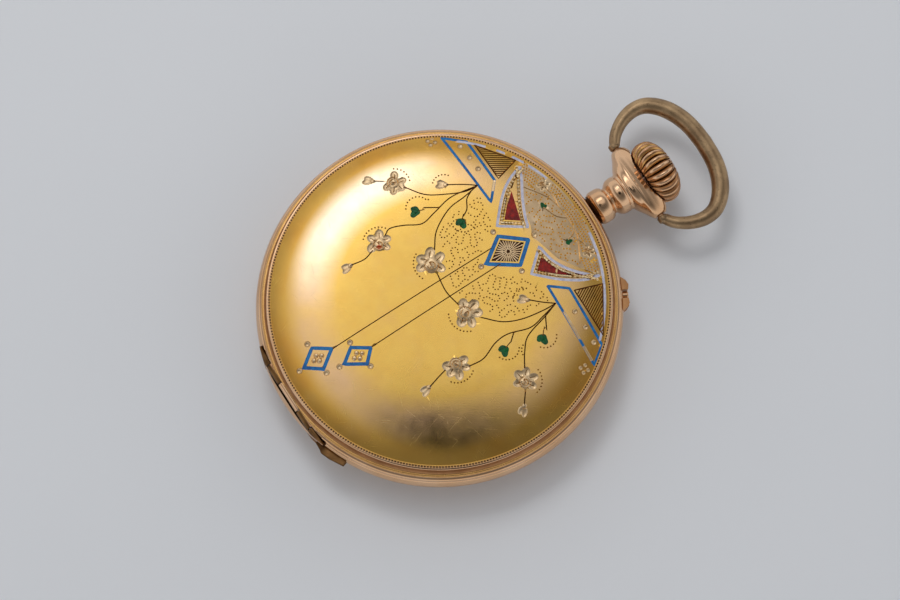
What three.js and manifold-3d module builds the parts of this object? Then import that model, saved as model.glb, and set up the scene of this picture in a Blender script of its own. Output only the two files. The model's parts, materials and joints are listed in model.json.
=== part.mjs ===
// An open-face pocket watch, pin-set, with a hinged back, a hinged dust cover (cuvette) and a hinged bezel.
// Millimetres. The origin is on the case axis, on the flat of the crystal that the watch rests on.
// +Z points out of the decorated back cover, and +Y points to the pendant, at twelve o'clock.
import * as THREE from 'three';
import { mergeVertices } from 'three/addons/utils/BufferGeometryUtils.js';
import Module from 'manifold-3d';

const wasm = await Module();
wasm.setup();

// ---------- driving dimensions ----------
const GAP = 0.05;               // running clearance between neighbouring pieces

const CASE_R = 17.5;            // widest radius, on the ridge of the middle band
const RIDGE_Z = 4.0;            // height of that ridge
const RIM_R = 17.2;             // radius of the two seams, where the cover and the bezel meet the band
const BACK_SEAM_Z = 4.9;
const BEZEL_SEAM_Z = 3.1;
const SNAP_R = 16.2;            // outside of the snap rim that holds the back cover shut
const SNAP_TOP_Z = 5.45;
const GROOVE_R = 16.0;          // milled groove at the foot of the cover's dome
const GROOVE_Z = 6.8;
const DOME_TOP_Z = 8.2;
const CRYSTAL_FLAT_R = 9.0;
const RING_SEGMENTS = 28;

const HINGE_Y = -16.65;         // both case hinges lie along X, opposite the pendant
const KNUCKLE_R = 0.4;
const HINGE_NOTCH_R = 0.62;
const HINGE_PIN_R = 0.16;
const HINGE_HALF = 5.6;         // half the length of the hinge barrels
const COVER_KNUCKLE = [1.6, 3.6];
const CUVETTE_KNUCKLE_HALF = 1.54;
const BEZEL_KNUCKLE_HALF = 2.14;

const PENDANT_Z = 3.95;         // height of the pendant, the stem and the bow's pivots
const STEM_R = 0.35;
const BOW_PIVOT_Y = 22.65;
const BOW_PIVOT_X = 3.85;       // half the length of the pendant's head, where the bow's eyes sit
const BOW_WIRE_R = 0.75;
const CROWN_RIBS = 24;
const CROWN_R = 3.2;

const SETTING_ANGLE = 29;       // degrees clockwise from the pendant, seen from the back
const SETTING_PIN_R = 0.36;
const SETTING_PIN_Z = 3.8;

const PLATE_R = 14.0;
const PLATE_BOTTOM_Z = 3.7;
const PLATE_TOP_Z = 4.5;
const BRIDGE_Z = [5.88, 6.35];
const BRIDGE_R = 13.4;
const WINDING_Z = [6.4, 6.62];  // level of the two steel wheels above the barrel bridge
const COCK_Z = [6.2, 6.5];

// Gear train: teeth and modules. Pitch radius = module x teeth / 2.
const ADDENDUM = 0.6;           // in modules
const TOOTH_DEPTH = 1.6;        // in modules
const BARREL = { teeth: 48, module: 0.25 };
const CENTER_PINION = { teeth: 6, module: 0.25 };
const CENTER_WHEEL = { teeth: 48, module: 0.2 };
const THIRD_PINION = { teeth: 6, module: 0.2 };
const THIRD_WHEEL = { teeth: 45, module: 0.186 };
const FOURTH_PINION = { teeth: 6, module: 0.186 };
const FOURTH_WHEEL = { teeth: 60, module: 0.13 };
const ESCAPE_PINION = { teeth: 6, module: 0.13 };
const CANNON = { teeth: 10, module: 0.15 };
const MINUTE_WHEEL = { teeth: 30, module: 0.15 };
const MINUTE_PINION = { teeth: 8, module: 0.15 };
const HOUR_WHEEL = { teeth: 32, module: 0.15 };
const SETTING_WHEEL = { teeth: 24, module: 0.15 };
const RATCHET = { teeth: 40, module: 0.24 };
const CROWN_WHEEL = { teeth: 25, module: 0.24 };
const CROWN_PINION = { teeth: 20, module: 0.145 };
const WINDING_PINION = { teeth: 16, module: 0.13 };

const MINUTES_SHOWN = 10;       // the hands show ten past ten, and 35 seconds
const HOURS_SHOWN = 10;
const SECONDS_SHOWN = 35;

// ---------- where the arbors stand ----------
const degrees = (angle) => angle * Math.PI / 180;
const at = (centre, radius, angle) => [
  centre[0] + radius * Math.cos(degrees(angle)),
  centre[1] + radius * Math.sin(degrees(angle)),
];
const pitch = (gear) => gear.module * gear.teeth / 2;
const heading = (from, to) => Math.atan2(to[1] - from[1], to[0] - from[0]);

const CENTER = [0, 0];
const BARREL_AT = at(CENTER, pitch(BARREL) + pitch(CENTER_PINION), 140);
const FOURTH_AT = [0, -6.2];
const THIRD_AT = meetingPoint(
  CENTER, pitch(CENTER_WHEEL) + pitch(THIRD_PINION),
  FOURTH_AT, pitch(THIRD_WHEEL) + pitch(FOURTH_PINION),
);
const ESCAPE_AT = at(FOURTH_AT, pitch(FOURTH_WHEEL) + pitch(ESCAPE_PINION), 200);
const BALANCE_AT = [-8.0, -3.6];
const PALLET_AT = [-5.95, -5.7];
const CROWN_WHEEL_AT = [0, BARREL_AT[1] + Math.sqrt(
  (pitch(RATCHET) + pitch(CROWN_WHEEL)) ** 2 - BARREL_AT[0] ** 2,
)];
const MINUTE_WHEEL_AT = at(CENTER, pitch(CANNON) + pitch(MINUTE_WHEEL), 60);
const SETTING_WHEEL_AT = [0, MINUTE_WHEEL_AT[1] + Math.sqrt(
  (pitch(MINUTE_WHEEL) + pitch(SETTING_WHEEL)) ** 2 - MINUTE_WHEEL_AT[0] ** 2,
)];
const SETTING_DIRECTION = [Math.sin(degrees(SETTING_ANGLE)), Math.cos(degrees(SETTING_ANGLE))];
const YOKE_AT = [9.8, 9.0];
const COCK_FOOT = [-8.55, -8.95];
const PALLET_FOOT = [-6.4, -9.9];
const CASE_SCREW_ANGLES = [8, 188];
const CASE_SCREW_R = 13.3;
const BARREL_BRIDGE_FEET = [[-3.2, 12.6], [-12.4, 1.7], [5.2, 11.6], [11.6, 4.4]];
const TRAIN_BRIDGE_FEET = [[3.2, -12.4], [11.6, -4.6], [-3.4, -11.6]];
const DIAL_FEET = [[10.5, -6.0], [-9.5, 7.5]];

// The point to the right of the line between two centres, at the two given distances from them.
function meetingPoint(a, fromA, b, fromB) {
  const apart = Math.hypot(b[0] - a[0], b[1] - a[1]);
  const along = (fromA ** 2 - fromB ** 2 + apart ** 2) / (2 * apart);
  const aside = Math.sqrt(fromA ** 2 - along ** 2);
  const [ux, uy] = [(b[0] - a[0]) / apart, (b[1] - a[1]) / apart];
  return [a[0] + along * ux - aside * uy, a[1] + along * uy + aside * ux];
}

// ---------- solids ----------
function signedVolume(points, index) {
  const [a, b, c] = [new THREE.Vector3(), new THREE.Vector3(), new THREE.Vector3()];
  let sum = 0;
  for (let i = 0; i < index.length; i += 3) {
    a.fromArray(points, 3 * index[i]);
    b.fromArray(points, 3 * index[i + 1]);
    c.fromArray(points, 3 * index[i + 2]);
    sum += a.dot(b.cross(c));
  }
  return sum / 6;
}

// A three.js geometry as a solid that can be joined and cut.
function solid(geometry) {
  geometry.deleteAttribute('normal');
  geometry.deleteAttribute('uv');
  const merged = mergeVertices(geometry, 1e-5);
  const points = merged.attributes.position.array;
  const all = merged.index.array;
  const kept = [];
  for (let i = 0; i < all.length; i += 3) {
    const [a, b, c] = [all[i], all[i + 1], all[i + 2]];
    if (a !== b && b !== c && c !== a) kept.push(a, b, c);
  }
  if (signedVolume(points, kept) < 0) kept.reverse();
  return new wasm.Manifold(new wasm.Mesh({
    numProp: 3,
    vertProperties: new Float32Array(points),
    triVerts: new Uint32Array(kept),
  }));
}

function geometryOf(body) {
  const mesh = body.getMesh();
  const geometry = new THREE.BufferGeometry();
  geometry.setAttribute('position', new THREE.BufferAttribute(new Float32Array(mesh.vertProperties), 3));
  geometry.setIndex(new THREE.BufferAttribute(new Uint32Array(mesh.triVerts), 1));
  geometry.computeVertexNormals();
  return geometry;
}

const join = (...bodies) => bodies.reduce((whole, next) => whole.add(next));
const cut = (body, ...tools) => tools.reduce((left, tool) => left.subtract(tool), body);

// A profile of [radius, height] points, turned about an axis parallel to Y.
function turnedAboutY(profile, segments) {
  const points = profile.map(([r, y]) => new THREE.Vector2(r, y));
  return new THREE.LatheGeometry(points, segments);
}

// The same about an axis parallel to Z, through centre.
function turned(profile, segments, centre = CENTER) {
  const geometry = turnedAboutY(profile, segments).rotateX(Math.PI / 2);
  return solid(geometry.translate(centre[0], centre[1], 0));
}

const closed = (profile) => [...profile, profile[0]];

function box(x, y, z) {
  const geometry = new THREE.BoxGeometry(x[1] - x[0], y[1] - y[0], z[1] - z[0]);
  return solid(geometry.translate((x[0] + x[1]) / 2, (y[0] + y[1]) / 2, (z[0] + z[1]) / 2));
}

function rodZ(centre, radius, z, segments = 12) {
  const geometry = new THREE.CylinderGeometry(radius, radius, z[1] - z[0], segments).rotateX(Math.PI / 2);
  return solid(geometry.translate(centre[0], centre[1], (z[0] + z[1]) / 2));
}

function rodX(y, z, radius, x, segments = 10) {
  const geometry = new THREE.CylinderGeometry(radius, radius, x[1] - x[0], segments).rotateZ(Math.PI / 2);
  return solid(geometry.translate((x[0] + x[1]) / 2, y, z));
}

function rodY(radius, y, segments = 12) {
  const geometry = new THREE.CylinderGeometry(radius, radius, y[1] - y[0], segments);
  return solid(geometry.translate(0, (y[0] + y[1]) / 2, PENDANT_Z));
}

// A rod along the setting pin's line, from one distance from the case axis to another.
function rodOnPinLine(radius, from, to, z = SETTING_PIN_Z) {
  const geometry = new THREE.CylinderGeometry(radius, radius, to - from, 10);
  geometry.translate(0, (from + to) / 2, 0).rotateZ(-degrees(SETTING_ANGLE));
  return solid(geometry.translate(0, 0, z));
}

function plate(shape, z, curveSegments = 4) {
  const geometry = new THREE.ExtrudeGeometry(shape, {
    depth: z[1] - z[0], bevelEnabled: false, curveSegments,
  });
  return solid(geometry.translate(0, 0, z[0]));
}

// An outline round two circles, with straight sides between them.
function taperedBar(a, radiusA, b, radiusB) {
  const turn = heading(a, b);
  const shape = new THREE.Shape();
  shape.absarc(a[0], a[1], radiusA, turn + Math.PI / 2, turn + 1.5 * Math.PI, false);
  shape.absarc(b[0], b[1], radiusB, turn - Math.PI / 2, turn + Math.PI / 2, false);
  shape.closePath();
  return shape;
}

// A flat blade of even width that follows a curve given as a function of t from 0 to 1.
function blade(curve, width, steps) {
  const left = [];
  const right = [];
  for (let i = 0; i <= steps; i += 1) {
    const [x, y] = curve(i / steps);
    const before = curve(Math.max(0, i - 0.5) / steps);
    const after = curve(Math.min(steps, i + 0.5) / steps);
    const angle = heading(before, after) + Math.PI / 2;
    left.push(new THREE.Vector2(x + width / 2 * Math.cos(angle), y + width / 2 * Math.sin(angle)));
    right.unshift(new THREE.Vector2(x - width / 2 * Math.cos(angle), y - width / 2 * Math.sin(angle)));
  }
  return new THREE.Shape([...left, ...right]);
}

const spiral = (centre, from, to, turns) => (t) => {
  const radius = from + (to - from) * t;
  const angle = 2 * Math.PI * turns * t;
  return [centre[0] + radius * Math.cos(angle), centre[1] + radius * Math.sin(angle)];
};

// ---------- gears ----------
const tipRadius = (gear) => pitch(gear) + ADDENDUM * gear.module;
const rootRadius = (gear) => tipRadius(gear) - TOOTH_DEPTH * gear.module;

// Pointed teeth round a centre, with the first tooth's tip at the angle phase.
function toothed(gear, centre, phase) {
  const points = [];
  for (let i = 0; i < 2 * gear.teeth; i += 1) {
    const radius = i % 2 === 0 ? tipRadius(gear) : rootRadius(gear);
    const angle = phase + i * Math.PI / gear.teeth;
    points.push(new THREE.Vector2(centre[0] + radius * Math.cos(angle), centre[1] + radius * Math.sin(angle)));
  }
  return new THREE.Shape(points);
}

// The phase that sets a follower's gap round the driver's tooth on the line between their centres.
function meshed(driver, driverAt, driverPhase, follower, followerAt) {
  const line = heading(driverAt, followerAt);
  const driverPitches = (line - driverPhase) * driver.teeth / (2 * Math.PI);
  return line + Math.PI - (0.5 - driverPitches) * 2 * Math.PI / follower.teeth;
}

// Cuts the windows between a wheel's arms into its outline.
function addWindows(shape, centre, inner, outer, arms, armWidth) {
  for (let arm = 0; arm < arms; arm += 1) {
    const start = 2 * Math.PI * arm / arms;
    const end = start + 2 * Math.PI / arms;
    const [outerTrim, innerTrim] = [armWidth / 2 / outer, armWidth / 2 / inner];
    const window = new THREE.Path();
    window.absarc(centre[0], centre[1], outer, start + outerTrim, end - outerTrim, false);
    window.absarc(centre[0], centre[1], inner, end - innerTrim, start + innerTrim, true);
    window.closePath();
    shape.holes.push(window);
  }
}

function addBore(shape, centre, radius) {
  const bore = new THREE.Path();
  bore.absarc(centre[0], centre[1], radius, 0, 2 * Math.PI, true);
  shape.holes.push(bore);
}

function trainWheel(gear, centre, phase, z, boreRadius) {
  const shape = toothed(gear, centre, phase);
  addWindows(shape, centre, 1.0, rootRadius(gear) - 0.35, 4, 0.35);
  return cut(plate(shape, z, 2), rodZ(centre, boreRadius, z, 8));
}

// An arbor turned from [radius, height] steps, with the leaves of its pinion.
function arbor(centre, steps, pinion, phase, pinionZ) {
  const axle = turned(steps, 8, centre);
  return join(axle, plate(toothed(pinion, centre, phase), pinionZ, 4));
}

// A stepped axle's profile from [radius, from, to] stretches, lowest first.
function stepped(...stretches) {
  const profile = [[0, stretches[0][1]]];
  for (const [radius, from, to] of stretches) profile.push([radius, from], [radius, to]);
  profile.push([0, stretches[stretches.length - 1][2]]);
  return profile;
}

// A slotted screw that stands along Z.
function screw(centre, shankR, shankZ, headR, headZ, slotAngle) {
  const slot = new THREE.BoxGeometry(2.4 * headR, 0.16, 0.2);
  slot.rotateZ(degrees(slotAngle)).translate(centre[0], centre[1], headZ[1] + 0.04);
  return cut(
    join(rodZ(centre, shankR, shankZ, 6), rodZ(centre, headR, headZ, 12)),
    solid(slot),
  );
}

// ---------- materials ----------
const FINISHES = {
  satin_gold: ['#c99f4f', 0.36, 1],
  rose_gold: ['#c08a5e', 0.2, 1],
  antique_brass: ['#7d6746', 0.42, 1],
  gilt_brass: ['#c8a250', 0.35, 1],
  nickel: ['#c3beb2', 0.32, 1],
  steel: ['#a9abb0', 0.25, 1],
  blued_steel: ['#20356e', 0.25, 1],
  enamel_white: ['#efece2', 0.25, 0],
  ruby: ['#b01038', 0.08, 0],
  crystal: ['#dfe8ea', 0.05, 0],
};

const group = new THREE.Group();

function part(name, body, finish) {
  const [color, roughness, metalness] = FINISHES[finish];
  const material = new THREE.MeshStandardMaterial({ color, roughness, metalness });
  if (finish === 'crystal') Object.assign(material, { transparent: true, opacity: 0.35 });
  const mesh = new THREE.Mesh(geometryOf(body), material);
  mesh.name = name;
  group.add(mesh);
}

// ---------- the case ----------
const backNotch = rodX(HINGE_Y, BACK_SEAM_Z, HINGE_NOTCH_R, [-HINGE_HALF - GAP, HINGE_HALF + GAP]);
const bezelNotch = rodX(HINGE_Y, BEZEL_SEAM_Z, HINGE_NOTCH_R, [-HINGE_HALF - GAP, HINGE_HALF + GAP]);
const hingeBore = (z) => rodX(HINGE_Y, z, HINGE_PIN_R + 0.04, [-9, 9], 8);

// A hinge knuckle with the web that ties it to its own wall.
function knuckle(x, axisZ, webY, webZ) {
  return join(rodX(HINGE_Y, axisZ, KNUCKLE_R, x), box(x, webY, webZ));
}

// A wedge at one end of the band's hinge, which fills the corner between the barrel and the round case.
function hingeWedge() {
  const outline = [
    [HINGE_HALF - 0.7, -15.6], [HINGE_HALF - 0.7, -17.05], [HINGE_HALF + 0.6, -17.1],
    [HINGE_HALF + 1.7, -16.5], [8.5, -15.4], [8.2, -14.9],
  ];
  const shape = new THREE.Shape(outline.map(([x, y]) => new THREE.Vector2(x, y)));
  return plate(shape, [BEZEL_SEAM_Z + 0.1, BACK_SEAM_Z - 0.02]);
}

// The room outside the hinge axis, where a cover's rim would swing into the band.
function hingeClearance(z) {
  return box([-HINGE_HALF - GAP, HINGE_HALF + GAP], [-18, HINGE_Y], z);
}

function caseBand() {
  const ring = turned(closed([
    [RIM_R, BEZEL_SEAM_Z + 0.02],
    [CASE_R, RIDGE_Z],
    [RIM_R, BACK_SEAM_Z - 0.02],
    [SNAP_R, BACK_SEAM_Z - 0.02],
    [SNAP_R, SNAP_TOP_Z],
    [SNAP_R - 0.4, SNAP_TOP_Z],
    [SNAP_R - 0.4, BACK_SEAM_Z + 0.05],
    [PLATE_R + 0.12, BACK_SEAM_Z + 0.05],
    [PLATE_R + 0.12, 4.27],
    [PLATE_R + 0.47, 4.27],
    [PLATE_R + 0.47, BEZEL_SEAM_Z + 0.02],
    [15.05, BEZEL_SEAM_Z + 0.02],
    [15.05, 2.6],
    [15.4, 2.6],
    [15.4, BEZEL_SEAM_Z + 0.02],
  ]), RING_SEGMENTS);
  const backWebY = [HINGE_Y, -15.3];
  const notched = cut(
    join(ring, cut(hingeWedge(), rodZ(CENTER, 15.8, [0, 9], RING_SEGMENTS))),
    backNotch,
    bezelNotch,
    box([-CUVETTE_KNUCKLE_HALF - 0.2, CUVETTE_KNUCKLE_HALF + 0.2], [-18, -15], [BACK_SEAM_Z, 7]),
  );
  let band = notched;
  for (const side of [1, -1]) {
    const outer = [side * (COVER_KNUCKLE[1] + GAP), side * HINGE_HALF].sort((a, b) => a - b);
    const lower = [side * (BEZEL_KNUCKLE_HALF + GAP), side * HINGE_HALF].sort((a, b) => a - b);
    band = join(
      band,
      knuckle(outer, BACK_SEAM_Z, backWebY, [4.3, BACK_SEAM_Z - 0.02]),
      knuckle(lower, BEZEL_SEAM_Z, backWebY, [BEZEL_SEAM_Z + 0.02, 3.7]),
    );
  }
  return cut(
    band,
    hingeBore(BACK_SEAM_Z),
    hingeBore(BEZEL_SEAM_Z),
    rodY(0.68, [13, 18.5]),
    rodOnPinLine(SETTING_PIN_R + 0.06, 13, 18.5),
  );
}

function backCover() {
  const shell = turned([
    [0, DOME_TOP_Z],
    [7, DOME_TOP_Z - 0.13],
    [11.5, DOME_TOP_Z - 0.46],
    [14.5, DOME_TOP_Z - 0.9],
    [GROOVE_R, GROOVE_Z],
    [16.6, 5.66],
    [16.86, 5.54],
    [RIM_R, 5.2],
    [RIM_R, BACK_SEAM_Z + 0.03],
    [SNAP_R + 0.1, BACK_SEAM_Z + 0.03],
    [SNAP_R + 0.1, SNAP_TOP_Z + 0.08],
    [15.6, 6.45],
    [14.4, 6.98],
    [11.5, 7.4],
    [7, 7.7],
    [0, 7.85],
  ], RING_SEGMENTS);
  const interior = rodZ(CENTER, SNAP_R + 0.1, [4, SNAP_TOP_Z + 0.08], RING_SEGMENTS);
  const cuvetteNotch = box(
    [-CUVETTE_KNUCKLE_HALF - 0.2, CUVETTE_KNUCKLE_HALF + 0.2], [-18, -15.4], [4, 5.32],
  );
  const webs = [1, -1].map((side) => {
    const x = [side * COVER_KNUCKLE[0], side * COVER_KNUCKLE[1]].sort((a, b) => a - b);
    const web = box(x, [HINGE_Y, -15.6], [BACK_SEAM_Z + 0.03, 5.45]);
    return join(rodX(HINGE_Y, BACK_SEAM_Z, KNUCKLE_R, x), web);
  });
  const nailRecess = turned(closed([
    [RIM_R - 0.28, 4.5], [18, 4.5], [18, 5.32], [RIM_R - 0.1, 5.32],
  ]), RING_SEGMENTS).intersect(plate(
    new THREE.Shape([[2, 4.6], [7, 23], [20, 9]].map(([x, y]) => new THREE.Vector2(x, y))),
    [4, 6],
  ));
  return cut(
    join(
      cut(shell, backNotch, cuvetteNotch, hingeClearance([BACK_SEAM_Z - 0.2, 5.8])),
      ...webs.map((web) => cut(web, interior, cuvetteNotch)),
    ),
    hingeBore(BACK_SEAM_Z),
    nailRecess,
  );
}

function cuvette() {
  const shell = turned([
    [0, 7.36],
    [9, 7.22],
    [13.2, 6.92],
    [14.8, 6.5],
    [15.55, 5.35],
    [15.55, 5.0],
    [15.25, 5.0],
    [15.25, 5.35],
    [14.5, 6.35],
    [13.1, 6.68],
    [9, 6.98],
    [0, 7.11],
  ], RING_SEGMENTS);
  const x = [-CUVETTE_KNUCKLE_HALF, CUVETTE_KNUCKLE_HALF];
  const web = cut(
    box(x, [HINGE_Y, -15.0], [5.0, 5.24]),
    rodZ(CENTER, 15.25, [4, 6], RING_SEGMENTS),
  );
  return cut(join(shell, web, rodX(HINGE_Y, BACK_SEAM_Z, KNUCKLE_R, x)), hingeBore(BACK_SEAM_Z));
}

function bezel() {
  const ring = turned(closed([
    [RIM_R, BEZEL_SEAM_Z - 0.03],
    [17.05, 2.6],
    [16.4, 1.8],
    [15.2, 1.0],
    [13.5, 0.45],
    [13.15, 0.9],
    [13.68, 1.15],
    [13.68, 1.75],
    [15.52, 2.5],
    [15.52, BEZEL_SEAM_Z - 0.03],
  ]), RING_SEGMENTS);
  const x = [-BEZEL_KNUCKLE_HALF, BEZEL_KNUCKLE_HALF];
  const web = cut(
    box(x, [HINGE_Y, -15.3], [2.5, BEZEL_SEAM_Z - 0.03]),
    rodZ(CENTER, 15.52, [1, 4], RING_SEGMENTS),
  );
  return cut(
    join(
      cut(ring, bezelNotch, hingeClearance([1.8, BEZEL_SEAM_Z + 0.2])),
      web,
      rodX(HINGE_Y, BEZEL_SEAM_Z, KNUCKLE_R, x),
    ),
    hingeBore(BEZEL_SEAM_Z),
  );
}

function crystal() {
  return turned([
    [0, 0],
    [CRYSTAL_FLAT_R, 0],
    [12.4, 0.6],
    [13.6, 1.35],
    [13.6, 1.62],
    [12.0, 1.15],
    [CRYSTAL_FLAT_R, 0.85],
    [0, 0.85],
  ], RING_SEGMENTS);
}

const CROWN_PROFILE = [
  [0, 23.1], [1.6, 23.1], [2.8, 23.65], [CROWN_R, 24.6], [2.8, 25.65], [1.7, 26.2], [0, 26.3],
];

// The pendant is turned below its head, and its head is flattened across the watch.
function pendant() {
  const geometry = turnedAboutY([
    [0, 15.7], [0.62, 15.7], [0.62, 17.55], [1.5, 17.55], [1.72, 17.8], [1.72, 18.6],
    [1.45, 19.0], [1.33, 19.2], [1.5, 19.7], [1.82, 20.05], [1.85, 20.6], [2.2, 21.0],
    [3.0, 21.55], [3.85, 22.15], [4.05, 22.7], [3.85, 23.3], [3.2, 23.75], [0, 23.75],
  ], 16);
  const thickness = [[20.6, 1], [21.0, 0.84], [21.55, 0.6], [22.15, 0.43], [22.7, 0.37], [23.75, 0.33]];
  const position = geometry.attributes.position;
  for (let i = 0; i < position.count; i += 1) {
    const y = position.getY(i);
    const above = thickness.findIndex(([height]) => height >= y - 1e-6);
    const factor = above <= 0 ? 1 : thickness[above][1];
    position.setZ(i, position.getZ(i) * factor);
  }
  const cup = turnedAboutY([
    [0, 22.95], [1.7, 22.95], [3.0, 23.55], [3.4, 24.6], [0, 24.6],
  ], 16).translate(0, 0, PENDANT_Z);
  const ends = [1, -1].map((side) => box(
    [side * BOW_PIVOT_X, side * 5].sort((a, b) => a - b), [21, 25], [0, 8],
  ));
  const pivotHoles = rodX(BOW_PIVOT_Y, PENDANT_Z, 0.36, [-5, 5], 12);
  const holeFill = rodX(BOW_PIVOT_Y, PENDANT_Z, 0.36, [-3.15, 3.15], 12);
  return cut(
    solid(geometry.translate(0, 0, PENDANT_Z)),
    solid(cup),
    ...ends,
    cut(pivotHoles, holeFill),
    rodY(STEM_R + 0.08, [15, 24], 14),
  );
}

// Half of the bow's centre line, from the top of the loop to the pivot on one side.
const BOW_HALF = [
  [0, 30.3], [1.9, 30.05], [3.25, 29.75], [4.5, 29.15], [5.55, 28.3], [6.2, 27.35], [6.4, 26.25],
  [6.25, 25.3], [5.85, 24.35], [5.15, 23.45], [4.45, 22.85],
];

function bow() {
  const right = BOW_HALF.slice(1).map(([x, y]) => new THREE.Vector3(x, y, PENDANT_Z)).reverse();
  const left = BOW_HALF.map(([x, y]) => new THREE.Vector3(-x, y, PENDANT_Z));
  const path = new THREE.CatmullRomCurve3([...right, ...left]);
  const section = new THREE.Shape();
  section.absarc(0, 0, BOW_WIRE_R, 0, 2 * Math.PI, false);
  const wire = solid(new THREE.ExtrudeGeometry(section, {
    steps: 26, curveSegments: 4, bevelEnabled: false, extrudePath: path,
  }));
  const ends = [1, -1].map((side) => {
    const eye = [side * (BOW_PIVOT_X + 0.07), side * 4.7].sort((a, b) => a - b);
    const pivot = [side * 3.3, side * 4.2].sort((a, b) => a - b);
    return join(
      rodX(BOW_PIVOT_Y, PENDANT_Z, 0.56, eye, 12),
      rodX(BOW_PIVOT_Y, PENDANT_Z, 0.3, pivot, 12),
    );
  });
  const clear = box([-BOW_PIVOT_X - 0.07, BOW_PIVOT_X + 0.07], [21.5, 24.4], [0, 8]);
  return join(cut(wire, clear), ...ends);
}

function crown() {
  const geometry = turnedAboutY(CROWN_PROFILE, 2 * CROWN_RIBS);
  const position = geometry.attributes.position;
  for (let i = 0; i < position.count; i += 1) {
    const [x, z] = [position.getX(i), position.getZ(i)];
    const column = Math.round(Math.atan2(z, x) * CROWN_RIBS / Math.PI);
    const depth = Math.hypot(x, z) > 1.65 && column % 2 !== 0 ? 0.94 : 1;
    position.setX(i, x * depth);
    position.setZ(i, z * depth);
  }
  return cut(solid(geometry.translate(0, 0, PENDANT_Z)), rodY(STEM_R + 0.03, [22, 25.2]));
}

// Two wedge lugs on one base stand on the band, on both sides of the setting pin.
function settingPinGuard() {
  const outline = [[-1.65, 17.2], [-1.1, 18.1], [1.1, 18.1], [1.65, 17.2]];
  const shape = new THREE.Shape(outline.map(([x, y]) => new THREE.Vector2(x, y)));
  const channel = box([-0.45, 0.45], [17.66, 19], [2, 6]);
  const lugs = cut(plate(shape, [SETTING_PIN_Z - 0.6, SETTING_PIN_Z + 0.75]), channel);
  const placed = lugs.rotate([0, 0, -SETTING_ANGLE]);
  return cut(
    placed,
    turned([[0, 1], [CASE_R + 0.03, 1], [CASE_R + 0.03, 7], [0, 7]], RING_SEGMENTS),
    rodOnPinLine(SETTING_PIN_R + 0.04, 16, 19),
  );
}

part('case_band', caseBand(), 'rose_gold');
part('back_cover', backCover(), 'satin_gold');
part('cuvette', cuvette(), 'rose_gold');
part('bezel', bezel(), 'rose_gold');
part('crystal', crystal(), 'crystal');
part('back_hinge_pin', rodX(HINGE_Y, BACK_SEAM_Z, HINGE_PIN_R, [-HINGE_HALF + 0.1, HINGE_HALF - 0.1], 8), 'steel');
part('bezel_hinge_pin', rodX(HINGE_Y, BEZEL_SEAM_Z, HINGE_PIN_R, [-HINGE_HALF + 0.1, HINGE_HALF - 0.1], 8), 'steel');
part('pendant', pendant(), 'rose_gold');
part('bow', bow(), 'antique_brass');
part('crown', crown(), 'rose_gold');
part('setting_pin', rodOnPinLine(SETTING_PIN_R, 13.68, 18.0), 'rose_gold');
part('setting_pin_guard', settingPinGuard(), 'rose_gold');

// ---------- winding and setting work ----------
const CROWN_PINION_Y = [10.9, 12.1];
const CLUTCH_Y = [9.2, 10.75];

// Teeth round the stem, on an axis along Y.
function pinionOnStem(gear, y, boreRadius) {
  const shape = toothed(gear, CENTER, 0);
  addBore(shape, CENTER, boreRadius);
  const geometry = new THREE.ExtrudeGeometry(shape, {
    depth: y[1] - y[0], bevelEnabled: false, curveSegments: 4,
  });
  return solid(geometry.rotateX(-Math.PI / 2).translate(0, y[0], PENDANT_Z));
}

function clutch() {
  const body = pinionOnStem({ teeth: 12, module: 0.11 }, CLUTCH_Y, STEM_R + 0.05);
  const groove = cut(rodY(1.2, [9.85, 10.15]), rodY(0.5, [9.8, 10.2], 12));
  return cut(body, groove);
}

function yoke() {
  const pinArm = [13.1 * SETTING_DIRECTION[0], 13.1 * SETTING_DIRECTION[1]];
  const z = [3.3, 3.62];
  const blank = join(
    plate(taperedBar(YOKE_AT, 0.8, pinArm, 0.5), z, 3),
    plate(taperedBar(YOKE_AT, 0.8, [1.6, 10.0], 0.3), z, 3),
    box([0.52, 1.6], [9.9, 10.1], z),
  );
  return cut(blank, rodZ(YOKE_AT, 0.4, [3, 4], 12));
}

// A bent blade riveted to the yoke, whose free end returns it.
function yokeSpring() {
  const curve = (t) => [9.3 - 5.6 * t, 7.9 - 0.9 * Math.sin(Math.PI * t)];
  return plate(blade(curve, 0.16, 8), [3.32, 3.58]);
}

const ratchetPhase = 0;
const crownWheelPhase = meshed(RATCHET, BARREL_AT, ratchetPhase, CROWN_WHEEL, CROWN_WHEEL_AT);

function crownWheel() {
  const disc = plate(toothed(CROWN_WHEEL, CROWN_WHEEL_AT, crownWheelPhase), WINDING_Z);
  return join(disc, rodZ(CROWN_WHEEL_AT, 0.55, [5.17, 6.5], 10));
}

function crownPinion() {
  const shape = toothed(CROWN_PINION, CROWN_WHEEL_AT, Math.PI / 2);
  addBore(shape, CROWN_WHEEL_AT, 0.6);
  return plate(shape, [5.15, 5.5], 4);
}

function ratchetWheel() {
  const shape = toothed(RATCHET, BARREL_AT, ratchetPhase);
  const disc = plate(shape, WINDING_Z);
  return cut(disc, box(
    [BARREL_AT[0] - 0.55, BARREL_AT[0] + 0.55], [BARREL_AT[1] - 0.55, BARREL_AT[1] + 0.55], [6, 7],
  ));
}

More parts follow.
